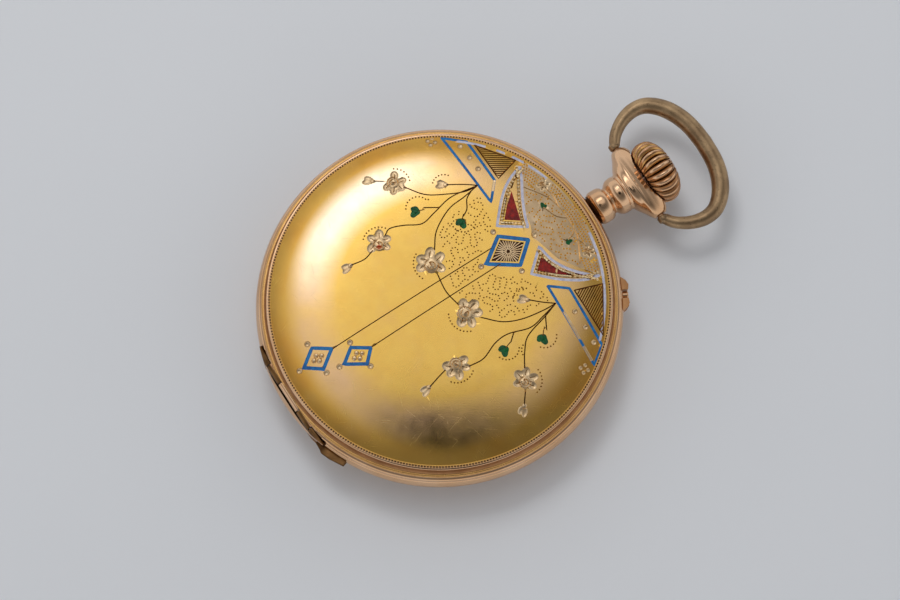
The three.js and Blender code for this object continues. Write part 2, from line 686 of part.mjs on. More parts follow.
part('winding_stem', rodY(STEM_R, [8.25, 25.1], 12), 'steel');
part('winding_pinion', pinionOnStem(WINDING_PINION, CROWN_PINION_Y, STEM_R + 0.05), 'steel');
part('sliding_pinion', clutch(), 'steel');
part('yoke', yoke(), 'steel');
part('yoke_spring', yokeSpring(), 'blued_steel');
part('crown_wheel', crownWheel(), 'steel');
part('crown_pinion', crownPinion(), 'steel');
part('ratchet_wheel', ratchetWheel(), 'steel');
part('click', cut(
  plate(taperedBar(at(BARREL_AT, 6.3, 175), 0.5, at(BARREL_AT, 5.25, 160), 0.2), WINDING_Z, 3),
  rodZ(at(BARREL_AT, 6.3, 175), 0.2, [6, 7], 8),
), 'steel');
part('click_spring', plate(
  blade((t) => at(BARREL_AT, 6.2 + 0.2 * t, 158 - 30 * t), 0.14, 8), [6.4, 6.55],
), 'blued_steel');

// ---------- plates and bridges ----------
const hole = (centre, radius, segments = 10) => rodZ(centre, radius, [3, 8], segments);

function mainPlate() {
  const disc = turned([
    [0, PLATE_BOTTOM_Z], [PLATE_R + 0.38, PLATE_BOTTOM_Z], [PLATE_R + 0.38, 4.2],
    [PLATE_R, 4.2], [PLATE_R, PLATE_TOP_Z], [0, PLATE_TOP_Z],
  ], RING_SEGMENTS);
  const studs = join(
    disc,
    rodZ(MINUTE_WHEEL_AT, 0.28, [2.8, 4.0], 10),
    rodZ(SETTING_WHEEL_AT, 0.28, [3.2, 4.0], 10),
    rodZ(YOKE_AT, 0.34, [3.2, 4.0], 10),
  );
  const pinSlot = box([-0.5, 0.5], [12.8, 15], [3, 4.3]).rotate([0, 0, -SETTING_ANGLE]);
  return cut(
    studs,
    box([-1.3, 1.3], [8.15, 12.25], [3, 5]),
    box([-0.45, 0.45], [12, 15], [3, 5]),
    pinSlot,
    hole(CENTER, 0.42),
    hole(FOURTH_AT, 0.26),
    hole(BARREL_AT, 0.7, 12),
    ...[THIRD_AT, ESCAPE_AT, PALLET_AT, BALANCE_AT].map((centre) => hole(centre, 0.14, 8)),
    ...DIAL_FEET.map((centre) => hole(centre, 0.42)),
    hole(COCK_FOOT, 0.45, 8),
    ...CASE_SCREW_ANGLES.map((angle) => hole(at(CENTER, CASE_SCREW_R, angle), 0.52)),
  );
}

// A bridge cut from the round of the movement, with its inner edge given as points, on round feet.
function bridge(startAngle, endAngle, edge, feet, holes) {
  const shape = new THREE.Shape();
  shape.absarc(0, 0, BRIDGE_R, degrees(startAngle), degrees(endAngle), false);
  for (const [x, y] of edge) shape.lineTo(x, y);
  shape.closePath();
  const pillars = feet.map((centre) => rodZ(centre, 0.85, [PLATE_TOP_Z + 0.02, BRIDGE_Z[0] + 0.1], 10));
  return cut(join(plate(shape, BRIDGE_Z, 9), ...pillars), ...holes);
}

function barrelBridge() {
  const edge = [[-8.0, 1.2], [-5.2, 0.9], [-3.6, -0.6], [-1.4, -1.5], [0.4, -1.5], [1.8, -0.8], [6.0, 1.4]];
  return bridge(12, 172, edge, BARREL_BRIDGE_FEET, [
    hole(BARREL_AT, 0.86, 14), hole(CROWN_WHEEL_AT, 0.62, 12), hole(CENTER, 0.34),
  ]);
}

function trainBridge() {
  const edge = [[6.8, -0.9], [2.4, -2.6], [-1.8, -4.4], [-3.5, -5.5], [-4.95, -7.3], [-4.9, -9.2]];
  return bridge(258, 348, edge, TRAIN_BRIDGE_FEET, [
    ...[THIRD_AT, FOURTH_AT, ESCAPE_AT].map((centre) => hole(centre, 0.5, 12)),
  ]);
}

function balanceCock() {
  const arm = plate(taperedBar(COCK_FOOT, 1.1, BALANCE_AT, 0.95), COCK_Z, 5);
  const foot = rodZ(COCK_FOOT, 1.1, [PLATE_TOP_Z + 0.02, COCK_Z[0] + 0.1], 14);
  return cut(join(arm, foot), hole(BALANCE_AT, 0.5, 12), hole(COCK_FOOT, 0.44));
}

function palletBridge() {
  const arm = plate(taperedBar(PALLET_FOOT, 0.65, PALLET_AT, 0.5), [5.2, 5.45], 3);
  const foot = rodZ(PALLET_FOOT, 0.65, [PLATE_TOP_Z + 0.02, 5.3], 8);
  return cut(join(arm, foot), hole(PALLET_AT, 0.14, 8));
}

function jewel(centre, z) {
  return cut(rodZ(centre, 0.45, z, 10), rodZ(centre, 0.12, [3, 8], 6));
}

const regulatorTip = at(BALANCE_AT, 3.1, THREE.MathUtils.radToDeg(heading(BALANCE_AT, COCK_FOOT)) + 14);
part('main_plate', mainPlate(), 'gilt_brass');
part('barrel_bridge', barrelBridge(), 'nickel');
part('train_bridge', trainBridge(), 'nickel');
part('balance_cock', balanceCock(), 'nickel');
part('pallet_bridge', palletBridge(), 'nickel');
part('regulator', cut(
  join(
    rodZ(BALANCE_AT, 0.95, [6.54, 6.66], 14),
    plate(taperedBar(BALANCE_AT, 0.45, regulatorTip, 0.12), [6.54, 6.66], 3),
  ),
  rodZ(BALANCE_AT, 0.55, [6, 7], 12),
), 'steel');
part('balance_jewel', jewel(BALANCE_AT, [6.2, 6.58]), 'ruby');
part('third_jewel', jewel(THIRD_AT, [5.92, 6.33]), 'ruby');
part('fourth_jewel', jewel(FOURTH_AT, [5.92, 6.33]), 'ruby');
part('escape_jewel', jewel(ESCAPE_AT, [5.92, 6.33]), 'ruby');
part('cock_screw', screw(COCK_FOOT, 0.38, [3.9, 6.56], 0.65, [6.52, 6.62], 35), 'blued_steel');
part('ratchet_screw', screw(BARREL_AT, 0.3, [5.8, 6.7], 0.95, [6.64, 6.78], 20), 'blued_steel');
CASE_SCREW_ANGLES.forEach((angle, i) => {
  const centre = at(CENTER, CASE_SCREW_R, angle);
  part(`case_screw_${i + 1}`, screw(centre, 0.45, [3.85, 5.0], 1.05, [4.98, 5.22], 40), 'blued_steel');
});

// ---------- barrel and going train ----------
const barrelPhase = 0;
const centerPinionPhase = meshed(BARREL, BARREL_AT, barrelPhase, CENTER_PINION, CENTER);
const thirdPinionPhase = meshed(CENTER_WHEEL, CENTER, 0, THIRD_PINION, THIRD_AT);
const fourthPinionPhase = meshed(THIRD_WHEEL, THIRD_AT, 0, FOURTH_PINION, FOURTH_AT);
const escapePinionPhase = meshed(FOURTH_WHEEL, FOURTH_AT, 0, ESCAPE_PINION, ESCAPE_AT);

function mainspringBarrel() {
  const shape = toothed(BARREL, BARREL_AT, barrelPhase);
  addBore(shape, BARREL_AT, 5.0);
  const drum = turned(closed([
    [0.62, 4.6], [5.6, 4.6], [5.6, 5.5], [5.3, 5.5], [5.3, 4.75], [0.62, 4.75],
  ]), 16, BARREL_AT);
  return join(plate(shape, [4.6, 4.9], 8), drum);
}

// The arbor hooks the spring's inner end, and its square carries the ratchet wheel.
function barrelArbor() {
  const axle = turned(stepped(
    [0.55, 3.75, 4.8], [0.9, 4.8, 5.3], [0.8, 5.3, 6.3],
  ), 12, BARREL_AT);
  const square = box(
    [BARREL_AT[0] - 0.5, BARREL_AT[0] + 0.5], [BARREL_AT[1] - 0.5, BARREL_AT[1] + 0.5], [6.2, 6.6],
  );
  return cut(join(axle, square), rodZ(BARREL_AT, 0.34, [5.7, 7], 8));
}

function escapeWheel() {
  const points = [];
  const teeth = 15;
  for (let i = 0; i < teeth; i += 1) {
    const start = 2 * Math.PI * i / teeth;
    for (const [radius, share] of [[1.45, 0], [2.0, 0.35], [1.45, 0.3]]) {
      const angle = start + share * 2 * Math.PI / teeth;
      points.push(new THREE.Vector2(
        ESCAPE_AT[0] + radius * Math.cos(angle), ESCAPE_AT[1] + radius * Math.sin(angle),
      ));
    }
  }
  const shape = new THREE.Shape(points);
  addWindows(shape, ESCAPE_AT, 0.6, 1.2, 4, 0.25);
  return cut(plate(shape, [4.86, 5.0], 2), rodZ(ESCAPE_AT, 0.27, [4, 6], 8));
}

// A straight-line lever: the fork reaches for the balance, and two arms carry the pallet stones.
function palletLever() {
  const towardBalance = THREE.MathUtils.radToDeg(heading(PALLET_AT, BALANCE_AT));
  const fork = at(PALLET_AT, 2.0, towardBalance);
  const stones = [110, -110].map((turn) => at(PALLET_AT, 1.15, towardBalance + turn));
  const z = [4.86, 5.0];
  return join(
    plate(taperedBar(PALLET_AT, 0.32, fork, 0.22), z, 3),
    ...stones.map((stone) => plate(taperedBar(PALLET_AT, 0.25, stone, 0.2), z, 2)),
    turned(stepped([0.09, 4.4, 4.7], [0.2, 4.7, 5.12], [0.09, 5.12, 5.42]), 8, PALLET_AT),
  );
}

function balanceWheel() {
  const rim = new THREE.Shape();
  rim.absarc(BALANCE_AT[0], BALANCE_AT[1], 3.85, 0, 2 * Math.PI, false);
  addWindows(rim, BALANCE_AT, 0.75, 3.45, 2, 0.7);
  addBore(rim, BALANCE_AT, 0.32);
  const screws = [];
  for (let i = 0; i < 10; i += 1) {
    const head = new THREE.CylinderGeometry(0.13, 0.13, 0.5, 4).rotateZ(Math.PI / 2).translate(3.9, 0, 0);
    head.rotateZ(degrees(36 * i + 18)).translate(BALANCE_AT[0], BALANCE_AT[1], 5.89);
    screws.push(solid(head));
  }
  return join(plate(rim, [5.75, 6.02], 7), ...screws);
}

part('mainspring_barrel', mainspringBarrel(), 'gilt_brass');
part('barrel_lid', turned(closed([
  [0.95, 5.36], [5.25, 5.36], [5.25, 5.5], [0.95, 5.5],
]), 16, BARREL_AT), 'gilt_brass');
part('mainspring', plate(blade(spiral(BARREL_AT, 1.3, 4.7, 3), 0.22, 32), [4.8, 5.3]), 'blued_steel');
part('barrel_arbor', barrelArbor(), 'steel');
part('center_arbor', arbor(CENTER, stepped(
  [0.28, 1.62, 4.62], [0.42, 4.62, 5.54], [0.28, 5.54, 6.3],
), CENTER_PINION, centerPinionPhase, [4.62, 5.1]), 'steel');
part('center_wheel', trainWheel(CENTER_WHEEL, CENTER, 0, [5.56, 5.68], 0.31), 'gilt_brass');
part('third_arbor', arbor(THIRD_AT, stepped(
  [0.08, 4.3, 4.62], [0.25, 4.62, 5.86], [0.08, 5.86, 6.2],
), THIRD_PINION, thirdPinionPhase, [5.48, 5.8]), 'steel');
part('third_wheel', trainWheel(THIRD_WHEEL, THIRD_AT, 0, [4.85, 5.03], 0.28), 'gilt_brass');
part('fourth_arbor', arbor(FOURTH_AT, stepped(
  [0.13, 2.13, 4.56], [0.25, 4.56, 5.86], [0.08, 5.86, 6.2],
), FOURTH_PINION, fourthPinionPhase, [4.7, 5.15]), 'steel');
part('fourth_wheel', trainWheel(FOURTH_WHEEL, FOURTH_AT, 0, [5.3, 5.46], 0.28), 'gilt_brass');
part('escape_arbor', arbor(ESCAPE_AT, stepped(
  [0.08, 4.3, 4.62], [0.24, 4.62, 5.86], [0.08, 5.86, 6.2],
), ESCAPE_PINION, escapePinionPhase, [5.2, 5.56]), 'steel');
part('escape_wheel', escapeWheel(), 'steel');
part('pallet_lever', palletLever(), 'steel');
part('balance_staff', turned(stepped(
  [0.08, 4.3, 4.6], [0.2, 4.6, 5.1], [0.6, 5.1, 5.25], [0.28, 5.25, 6.12], [0.08, 6.12, 6.42],
), 10, BALANCE_AT), 'steel');
part('balance_wheel', balanceWheel(), 'gilt_brass');
part('hairspring', plate(blade(spiral(BALANCE_AT, 0.5, 2.1, 3.5), 0.09, 34), [6.06, 6.14]), 'blued_steel');

// ---------- motion work, dial and hands ----------
const minuteWheelPhase = meshed(CANNON, CENTER, 0, MINUTE_WHEEL, MINUTE_WHEEL_AT);
const hourWheelPhase = meshed(MINUTE_PINION, MINUTE_WHEEL_AT, 0, HOUR_WHEEL, CENTER);
const settingWheelPhase = meshed(MINUTE_WHEEL, MINUTE_WHEEL_AT, minuteWheelPhase, SETTING_WHEEL, SETTING_WHEEL_AT);

function cannonPinion() {
  const leaves = plate(toothed(CANNON, CENTER, 0), [3.2, 3.58], 4);
  return cut(join(leaves, rodZ(CENTER, 0.52, [1.58, 3.58], 14)), rodZ(CENTER, 0.33, [1, 4], 12));
}

function minuteWheel() {
  const wheel = plate(toothed(MINUTE_WHEEL, MINUTE_WHEEL_AT, minuteWheelPhase), [3.24, 3.48], 4);
  const pinion = plate(toothed(MINUTE_PINION, MINUTE_WHEEL_AT, 0), [2.8, 3.3], 4);
  return cut(join(wheel, pinion), rodZ(MINUTE_WHEEL_AT, 0.33, [2, 4], 10));
}

function hourWheel() {
  const wheel = plate(toothed(HOUR_WHEEL, CENTER, hourWheelPhase), [2.8, 3.05], 4);
  return cut(join(wheel, rodZ(CENTER, 0.85, [1.86, 3.0], 16)), rodZ(CENTER, 0.6, [1, 4], 14));
}

function settingWheel() {
  const shape = toothed(SETTING_WHEEL, SETTING_WHEEL_AT, settingWheelPhase);
  addBore(shape, SETTING_WHEEL_AT, 0.33);
  return plate(shape, [3.24, 3.48], 5);
}

function dial() {
  const disc = turned([[0, 2.3], [13.9, 2.3], [13.9, 2.7], [0, 2.7]], RING_SEGMENTS);
  const feet = DIAL_FEET.map((centre) => rodZ(centre, 0.35, [2.6, 4.3], 8));
  return cut(join(disc, ...feet), rodZ(CENTER, 1.0, [2, 3], 12), rodZ(FOURTH_AT, 0.26, [2, 3], 8));
}

// A leaf hand: a boss, a stalk that swells to a leaf, and a point. The angle is clockwise as the dial is read.
function hand(centre, angle, length, leafWidth, bossR, boreR, tail, z) {
  const outline = [
    [bossR * 0.35, -tail], [bossR * 0.35, length * 0.3], [leafWidth / 2, length * 0.62],
    [0.08, length], [-0.08, length], [-leafWidth / 2, length * 0.62],
    [-bossR * 0.35, length * 0.3], [-bossR * 0.35, -tail],
  ];
  const shape = new THREE.Shape(outline.map(([x, y]) => new THREE.Vector2(x, y)));
  const blank = cut(join(plate(shape, z), rodZ(CENTER, bossR, z, 16)), rodZ(CENTER, boreR, [0, 4], 12));
  return blank.rotate([0, 0, angle]).translate([centre[0], centre[1], 0]);
}

part('cannon_pinion', cannonPinion(), 'steel');
part('minute_wheel', minuteWheel(), 'gilt_brass');
part('hour_wheel', hourWheel(), 'gilt_brass');
part('setting_wheel', settingWheel(), 'steel');
part('dial', dial(), 'enamel_white');
part('hour_hand', hand(
  CENTER, 30 * (HOURS_SHOWN + MINUTES_SHOWN / 60), 7.0, 1.1, 1.25, 0.88, 0, [1.88, 2.0],
), 'blued_steel');
part('minute_hand', hand(CENTER, 6 * MINUTES_SHOWN, 11.2, 0.9, 0.95, 0.55, 0, [1.6, 1.72]), 'blued_steel');
part('seconds_hand', hand(FOURTH_AT, 6 * SECONDS_SHOWN, 2.5, 0.2, 0.34, 0.16, 0.9, [2.14, 2.22]), 'blued_steel');

export default group;
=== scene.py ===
"""A pocket watch that lies on its crystal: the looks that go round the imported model.

Lengths are in millimetres, and are scaled to metres where a mesh is made. The frame is the CAD model's:
+Z out of the decorated back cover, +Y to the pendant, and the origin under the crystal.
"""

import json
import math
import random

import bpy
import numpy as np
from mathutils import Matrix, Vector
from mathutils.geometry import delaunay_2d_cdt


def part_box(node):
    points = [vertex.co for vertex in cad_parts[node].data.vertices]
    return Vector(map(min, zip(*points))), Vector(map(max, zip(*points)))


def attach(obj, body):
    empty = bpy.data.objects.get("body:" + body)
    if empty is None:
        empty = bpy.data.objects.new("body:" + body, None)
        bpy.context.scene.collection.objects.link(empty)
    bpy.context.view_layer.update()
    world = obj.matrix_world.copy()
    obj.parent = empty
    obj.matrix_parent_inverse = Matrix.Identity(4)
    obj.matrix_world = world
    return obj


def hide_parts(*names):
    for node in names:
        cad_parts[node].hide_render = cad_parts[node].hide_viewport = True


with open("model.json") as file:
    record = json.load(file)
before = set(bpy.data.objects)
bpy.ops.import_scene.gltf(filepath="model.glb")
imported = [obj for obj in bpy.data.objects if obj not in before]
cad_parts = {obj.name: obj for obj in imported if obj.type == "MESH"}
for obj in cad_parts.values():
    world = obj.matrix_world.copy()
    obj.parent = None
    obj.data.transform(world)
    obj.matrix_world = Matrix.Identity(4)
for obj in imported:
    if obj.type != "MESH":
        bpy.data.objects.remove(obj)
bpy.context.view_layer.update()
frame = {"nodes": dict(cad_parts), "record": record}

MM = 0.001
RNG = random.Random(11)
TAU = 2 * math.pi
CENTRE = (0.0, 0.0)


# ---------- where the frame puts things ----------
def span(node):
    """The two corners of a CAD node's box, in millimetres."""
    low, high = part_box(node)
    return [value / MM for value in low], [value / MM for value in high]


def middle_of(node):
    return [(low + high) / 2 for low, high in zip(*span(node))]


HINGE_Y, BACK_HINGE_Z = middle_of("back_hinge_pin")[1:]
BEZEL_HINGE_Z = middle_of("bezel_hinge_pin")[2]
HINGE_HALF = span("back_hinge_pin")[1][0] + 0.1
STEM_Z = middle_of("winding_stem")[2]
SECONDS_AT = tuple(middle_of("fourth_arbor")[:2])

# sizes that several pieces share
RIDGE_Z = 4.0           # the widest part of the case
DOME_R = 15.9           # the edge of the carved plate
BARREL_R = 0.39         # the hinge barrels
PIN_HALF = 4.6          # half the length of a hinge pin
BOW_PIVOT_Y = 22.65
SETTING_ANGLE = math.radians(29)   # from the pendant to the setting pin
SETTING_Z = 3.8
PLATE_SEGMENTS = 360


# ---------- materials ----------
def linear(*colour):
    """A screen colour as the linear one that a shader takes."""
    shares = [value / 255 for value in colour]
    return (*(s / 12.92 if s <= 0.04045 else ((s + 0.055) / 1.055) ** 2.4 for s in shares), 1.0)


def new_node(tree, kind, inputs, **settings):
    """Adds a shader node. Each input is given a value, or the output of another node."""
    node = tree.nodes.new("ShaderNode" + kind)
    for key, value in settings.items():
        setattr(node, key, value)
    for key, value in inputs.items():
        if isinstance(value, bpy.types.NodeSocket):
            tree.links.new(value, node.inputs[key])
        else:
            node.inputs[key].default_value = value
    return node


class Shader:
    """A material whose textures are laid out in millimetres in the piece's own frame."""

    def __init__(self, name, **inputs):
        self.material = bpy.data.materials.new(name)
        self.material.use_nodes = True
        self.tree = self.material.node_tree
        self.bsdf = self.tree.nodes["Principled BSDF"]
        for key, value in inputs.items():
            self.bsdf.inputs[key.replace("_", " ")].default_value = value
        self.place = self.mapped(self.node("TexCoord", {}).outputs["Object"], (1 / MM,) * 3)

    def node(self, kind, inputs, **settings):
        return new_node(self.tree, kind, inputs, **settings)

    def mapped(self, source, scale, turn=0.0):
        inputs = {"Vector": source, "Scale": scale, "Rotation": (0, 0, turn)}
        return self.node("Mapping", inputs).outputs["Vector"]

    def noise(self, scale, detail, stretch=None, turn=0.0):
        vector = self.mapped(self.mapped(self.place, (1, 1, 1), turn), stretch) if stretch else self.place
        return self.node("TexNoise", {"Scale": scale, "Detail": detail, "Vector": vector}).outputs["Fac"]

    def ranged(self, source, low, high, start=0.0, end=1.0):
        inputs = {"Value": source, "From Min": low, "From Max": high, "To Min": start, "To Max": end}
        return self.node("MapRange", inputs).outputs["Result"]

    def drift(self, scale, detail, *limits):
        """A noise, stretched over a range if limits are given."""
        noise = self.noise(scale, detail)
        return self.ranged(noise, *limits) if limits else noise

    def maths(self, operation, first, second):
        return self.node("Math", {0: first, 1: second}, operation=operation).outputs["Value"]

    def times(self, first, second):
        return self.maths("MULTIPLY", first, second)

    def mixed(self, factor, first, second):
        return self.node("Mix", {"Factor": factor, 6: first, 7: second}, data_type="RGBA").outputs[2]

    def toned(self, colour, shade, *drift):
        """A drift from one screen colour to another."""
        return self.mixed(self.drift(*drift), linear(*colour), linear(*shade))

    def distance_from(self, x, y):
        """How far a point is from a line parallel to Z, in millimetres."""
        flat = self.mapped(self.place, (1, 1, 0))
        offset = self.node("VectorMath", {0: flat, 1: (x, y, 0)}, operation="SUBTRACT").outputs["Vector"]
        return self.node("VectorMath", {0: offset}, operation="LENGTH").outputs["Value"]

    def scratches(self):
        """Fine straight marks in several directions, 1 on a mark and 0 between."""
        marks = None
        for turn, width in ((0.35, 17.0), (1.25, 23.0), (2.2, 19.0), (2.85, 26.0)):
            line = self.ranged(self.noise(1.0, 1.5, stretch=(0.3, width, 0.3), turn=turn), 0.71, 0.76)
            marks = line if marks is None else self.maths("MAXIMUM", marks, line)
        return marks

    def finished(self, colour, roughness, *bumps):
        """The material. Bumps are (height, strength, distance in mm), and lie on one another."""
        ends = {"Base Color": colour, "Roughness": roughness}
        for height, strength, distance in bumps:
            inputs = {"Strength": strength, "Distance": distance * MM, "Height": height}
            if "Normal" in ends:
                inputs["Normal"] = ends["Normal"]
            ends["Normal"] = self.node("Bump", inputs).outputs["Normal"]
        for key, source in ends.items():
            self.tree.links.new(source, self.bsdf.inputs[key])
        return self.material


def metal(name, colour, shade, roughness, scale=0.12, low=0.3, grain=0.08, scratched=0.5, spread=0.06):
    """A metal whose tone drifts from colour to shade, with a fine grain and scratches."""
    shader = Shader(name, Metallic=1.0)
    marks = shader.scratches()
    rough = shader.drift(0.9, 5, 0.3, 0.7, roughness - spread, roughness + spread)
    return shader.finished(
        shader.toned(colour, shade, scale, 5, low, 0.7),
        shader.maths("ADD", rough, shader.times(marks, 0.12 * scratched)),
        (shader.noise(7.0, 3), grain, 0.02), (shader.times(marks, -1.0), 0.25 * scratched, 0.012),
    )


def mottled(name, colour, shade, tone_drift, rough_drift, *bumps, **inputs):
    """A material of two tones and an uneven gloss. Bumps are (noise scale, strength, distance in mm)."""
    shader = Shader(name, **inputs)
    layers = [(shader.noise(scale, 3), strength, distance) for scale, strength, distance in bumps]
    return shader.finished(shader.toned(colour, shade, *tone_drift), shader.drift(*rough_drift), *layers)


def enamel(name, colour, shade):
    """Fired enamel: mottled, glossy, and slightly uneven."""
    return mottled(name, colour, shade, (2.4, 4, 0.35, 0.7), (5.0, 3, 0.3, 0.7, 0.16, 0.32),
                   (3.0, 0.25, 0.02), Coat_Weight=0.1, Coat_Roughness=0.1, Specular_IOR_Level=0.25)


def cover_gold():
    """Satin yellow gold: worn to a paler, rosier ring on its shoulder, and deeper yellow outside that, with a
    whiter painted highlight on that ring on the side towards the lights.
    """
    shader = Shader("satin_yellow_gold", Metallic=1.0)
    radius = shader.distance_from(*CENTRE)
    ring = shader.times(shader.ranged(radius, 9.6, 11.9), shader.ranged(radius, 13.2, 14.6, 1.0, 0.0))
    worn = shader.times(ring, shader.drift(0.2, 4, 0.3, 0.66, 0.3, 1.0))
    deep = shader.times(shader.ranged(radius, 13.0, 15.0), shader.drift(0.11, 3, 0.42, 0.6, 1.0, 0.35))
    # painted highlight: the ring is painted whiter on the side where the lights are reflected
    painted_highlight = shader.times(shader.ranged(shader.distance_from(-12.4, -2.6), 4.0, 11.0, 1.0, 0.0), ring)
    smudge = shader.drift(0.5, 6, 0.5, 0.85, 0.0, 0.3)
    tone = shader.toned((241, 197, 101), (238, 191, 96), 0.8, 6, 0.35, 0.7)
    for share, colour in ((deep, (236, 175, 80)), (worn, (234, 192, 142)), (painted_highlight, (242, 222, 192)),
                          (smudge, (226, 182, 124))):
        tone = shader.mixed(share, tone, linear(*colour))
    marks = shader.scratches()
    rough = shader.drift(0.6, 6, 0.3, 0.7, 0.18, 0.25)
    return shader.finished(
        tone, shader.maths("ADD", rough, shader.times(marks, 0.06)),
        (shader.noise(11.0, 2), 0.1, 0.018),
        (shader.noise(1.0, 2, stretch=(7.0, 0.5, 1.0), turn=0.6), 0.04, 0.02),
        (shader.times(marks, -1.0), 0.09, 0.01),
    )


def bow_brass():
    """Old brass: a tone that drifts between brown and lighter brass, with darker brown spots at random."""
    shader = Shader("antique_brass_worn", Metallic=1.0)
    tone = shader.toned((148, 122, 92), (190, 160, 122), 0.5, 6, 0.38, 0.68)
    spots = shader.drift(4.6, 5, 0.58, 0.72, 0.0, 0.7)
    return shader.finished(
        shader.mixed(spots, tone, linear(98, 78, 58)), shader.drift(1.6, 5, 0.3, 0.7, 0.3, 0.46),
        (shader.noise(6.0, 4), 0.2, 0.025), (shader.times(shader.scratches(), -1.0), 0.2, 0.012),
    )


def striped_nickel():
    """Nickel with broad polished stripes across it, as bridges are finished."""
    shader = Shader("nickel_striped", Metallic=1.0)
    inputs = {"Scale": 0.26, "Distortion": 0.12, "Vector": shader.mapped(shader.place, (1, 1, 1), 0.6)}
    stripe = shader.node("TexWave", inputs, bands_direction="X", wave_profile="SAW").outputs["Fac"]
    arcs = shader.noise(1.0, 2, stretch=(9.0, 0.6, 1.0), turn=0.6)
    tone = shader.mixed(shader.ranged(stripe, 0, 1), linear(206, 203, 194), linear(176, 172, 160))
    return shader.finished(tone, shader.drift(4.0, 3, 0.3, 0.7, 0.24, 0.34), (stripe, 0.35, 0.05),
                           (arcs, 0.08, 0.01))


def grained_plate():
    """Gilt brass with overlapping small circles, as a main plate is spotted."""
    shader = Shader("gilt_spotted", Metallic=1.0)
    cells = shader.node("TexVoronoi", {"Scale": 1.1, "Randomness": 0.25, "Vector": shader.place})
    rings = shader.maths("SINE", shader.times(cells.outputs["Distance"], 40.0), 0.0)
    tone = shader.toned((222, 184, 104), (206, 164, 88), 0.4, 4, 0.3, 0.7)
    return shader.finished(tone, shader.drift(3.0, 3, 0.3, 0.7, 0.3, 0.4), (rings, 0.12, 0.01))


SATIN = cover_gold()
MATTE = metal("matte_ground_gold", (222, 194, 156), (198, 168, 128), 0.4, 0.9, grain=0.5, scratched=0.3)
PETAL = metal("bright_cut_petal", (236, 208, 166), (216, 182, 136), 0.3, 1.6, grain=0.25, scratched=0.3)
SPARK = metal("bright_punch_mark", (240, 188, 84), (216, 158, 60), 0.28, 1.4, scratched=0.0)
BRIGHT = metal("bright_cut_gold", (240, 206, 150), (220, 180, 122), 0.3, 1.4)
# painted shade: the punch marks, creases and hatching are painted a darker gold where shade falls in them
PUNCHED = metal("punch_mark", (176, 130, 60), (134, 94, 44), 0.42, 1.0)
BEAD = metal("milled_bead", (250, 228, 186), (240, 210, 156), 0.3, 1.4, scratched=0.0)
# painted shade: the engraved lines are painted dark brown where shade falls in them
ENGRAVED = metal("engraved_line", (140, 92, 48), (104, 66, 36), 0.5, 1.0)
SUNBURST = metal("dark_engine_turned", (78, 46, 28), (50, 30, 20), 0.5, 2.0)
ROSE = metal("rose_gold_polished", (228, 188, 150), (214, 168, 124), 0.12, 0.25, 0.35,
             grain=0.05, scratched=0.7, spread=0.05)
ROSE_DARK = metal("rose_gold_worn", (204, 154, 118), (160, 112, 80), 0.26, 0.5, 0.35, grain=0.15)
YELLOW = metal("yellow_gold_band", (222, 174, 108), (204, 154, 92), 0.26, 0.4, grain=0.1)
# painted shade: a darker copy of the gold for the rim's cove, the crown's flanks and the setting guards
BROWN = metal("brown_gold_painted_shade", (190, 142, 98), (158, 112, 72), 0.34, 0.6, grain=0.2)
# painted shade: the hinge barrels and the wedge are painted a dark brown, as they lie in shade
HINGE = metal("hinge_painted_shade", (136, 100, 62), (66, 46, 28), 0.32, 0.9, 0.35, grain=0.2)
BOW_BRASS = bow_brass()
GILT = metal("gilt_brass_wheels", (224, 186, 106), (208, 164, 84), 0.28, 0.8, grain=0.2)
STEEL = metal("polished_steel", (196, 197, 200), (168, 170, 176), 0.22, 0.8, grain=0.1)
BLUED = metal("heat_blued_steel", (40, 66, 150), (24, 36, 110), 0.2, 0.7)
NICKEL = striped_nickel()
PLATE_GILT = grained_plate()
# painted shade: a dark brown put into the hinge gaps, between the rim's beads, at the pendant's collar and in
# the crown's valleys, where shade falls
CREVICE_SHADE = metal("crevice_painted_shade", (92, 62, 38), (58, 38, 24), 0.5, 1.6)
BLUE = enamel("blue_enamel", (34, 122, 184), (24, 86, 150))
LILAC = enamel("pale_lilac_enamel", (208, 206, 220), (176, 178, 200))
RED = enamel("red_enamel", (158, 24, 8), (92, 8, 4))
GREEN = enamel("green_enamel", (16, 100, 48), (6, 58, 30))
CORAL = enamel("coral_enamel", (214, 84, 40), (180, 60, 30))
DIAL_BLACK = enamel("black_numeral_enamel", (24, 24, 30), (14, 14, 18))
DIAL_WHITE = mottled("dial_enamel", (244, 241, 231), (236, 231, 217), (0.3, 5, 0.35, 0.7),
                     (1.5, 3, 0.3, 0.7, 0.14, 0.22), (0.4, 0.05, 0.02), Coat_Weight=0.7, Coat_Roughness=0.05)
GLASS = mottled("watch_crystal", (250, 252, 252), (240, 247, 248), (0.3, 2),
                (0.8, 4, 0.4, 0.8, 0.01, 0.05), Transmission_Weight=1.0, IOR=1.5)
RUBY = mottled("ruby", (196, 20, 70), (150, 8, 46), (2.0, 2), (3.0, 2, 0.3, 0.7, 0.05, 0.12),
               Transmission_Weight=0.5, IOR=1.76)


# ---------- points and profiles ----------
def polar(centre, radius, angle):
    return (centre[0] + radius * math.cos(angle), centre[1] + radius * math.sin(angle))


def circle(radius, count):
    return [polar(CENTRE, radius, TAU * k / count) for k in range(count)]


def local_point(x, y, u, v, angle):
    """The point (u, v) of axes that stand at (x, y) and are turned by an angle."""
    return (x + u * math.cos(angle) - v * math.sin(angle), y + u * math.sin(angle) + v * math.cos(angle))


def block_profile(inner, outer, low, high):
    """A lathe profile with four corners: a cylinder, or a ring if inner is not 0."""
    return [(inner, low), (outer, low), (outer, high), (inner, high)]


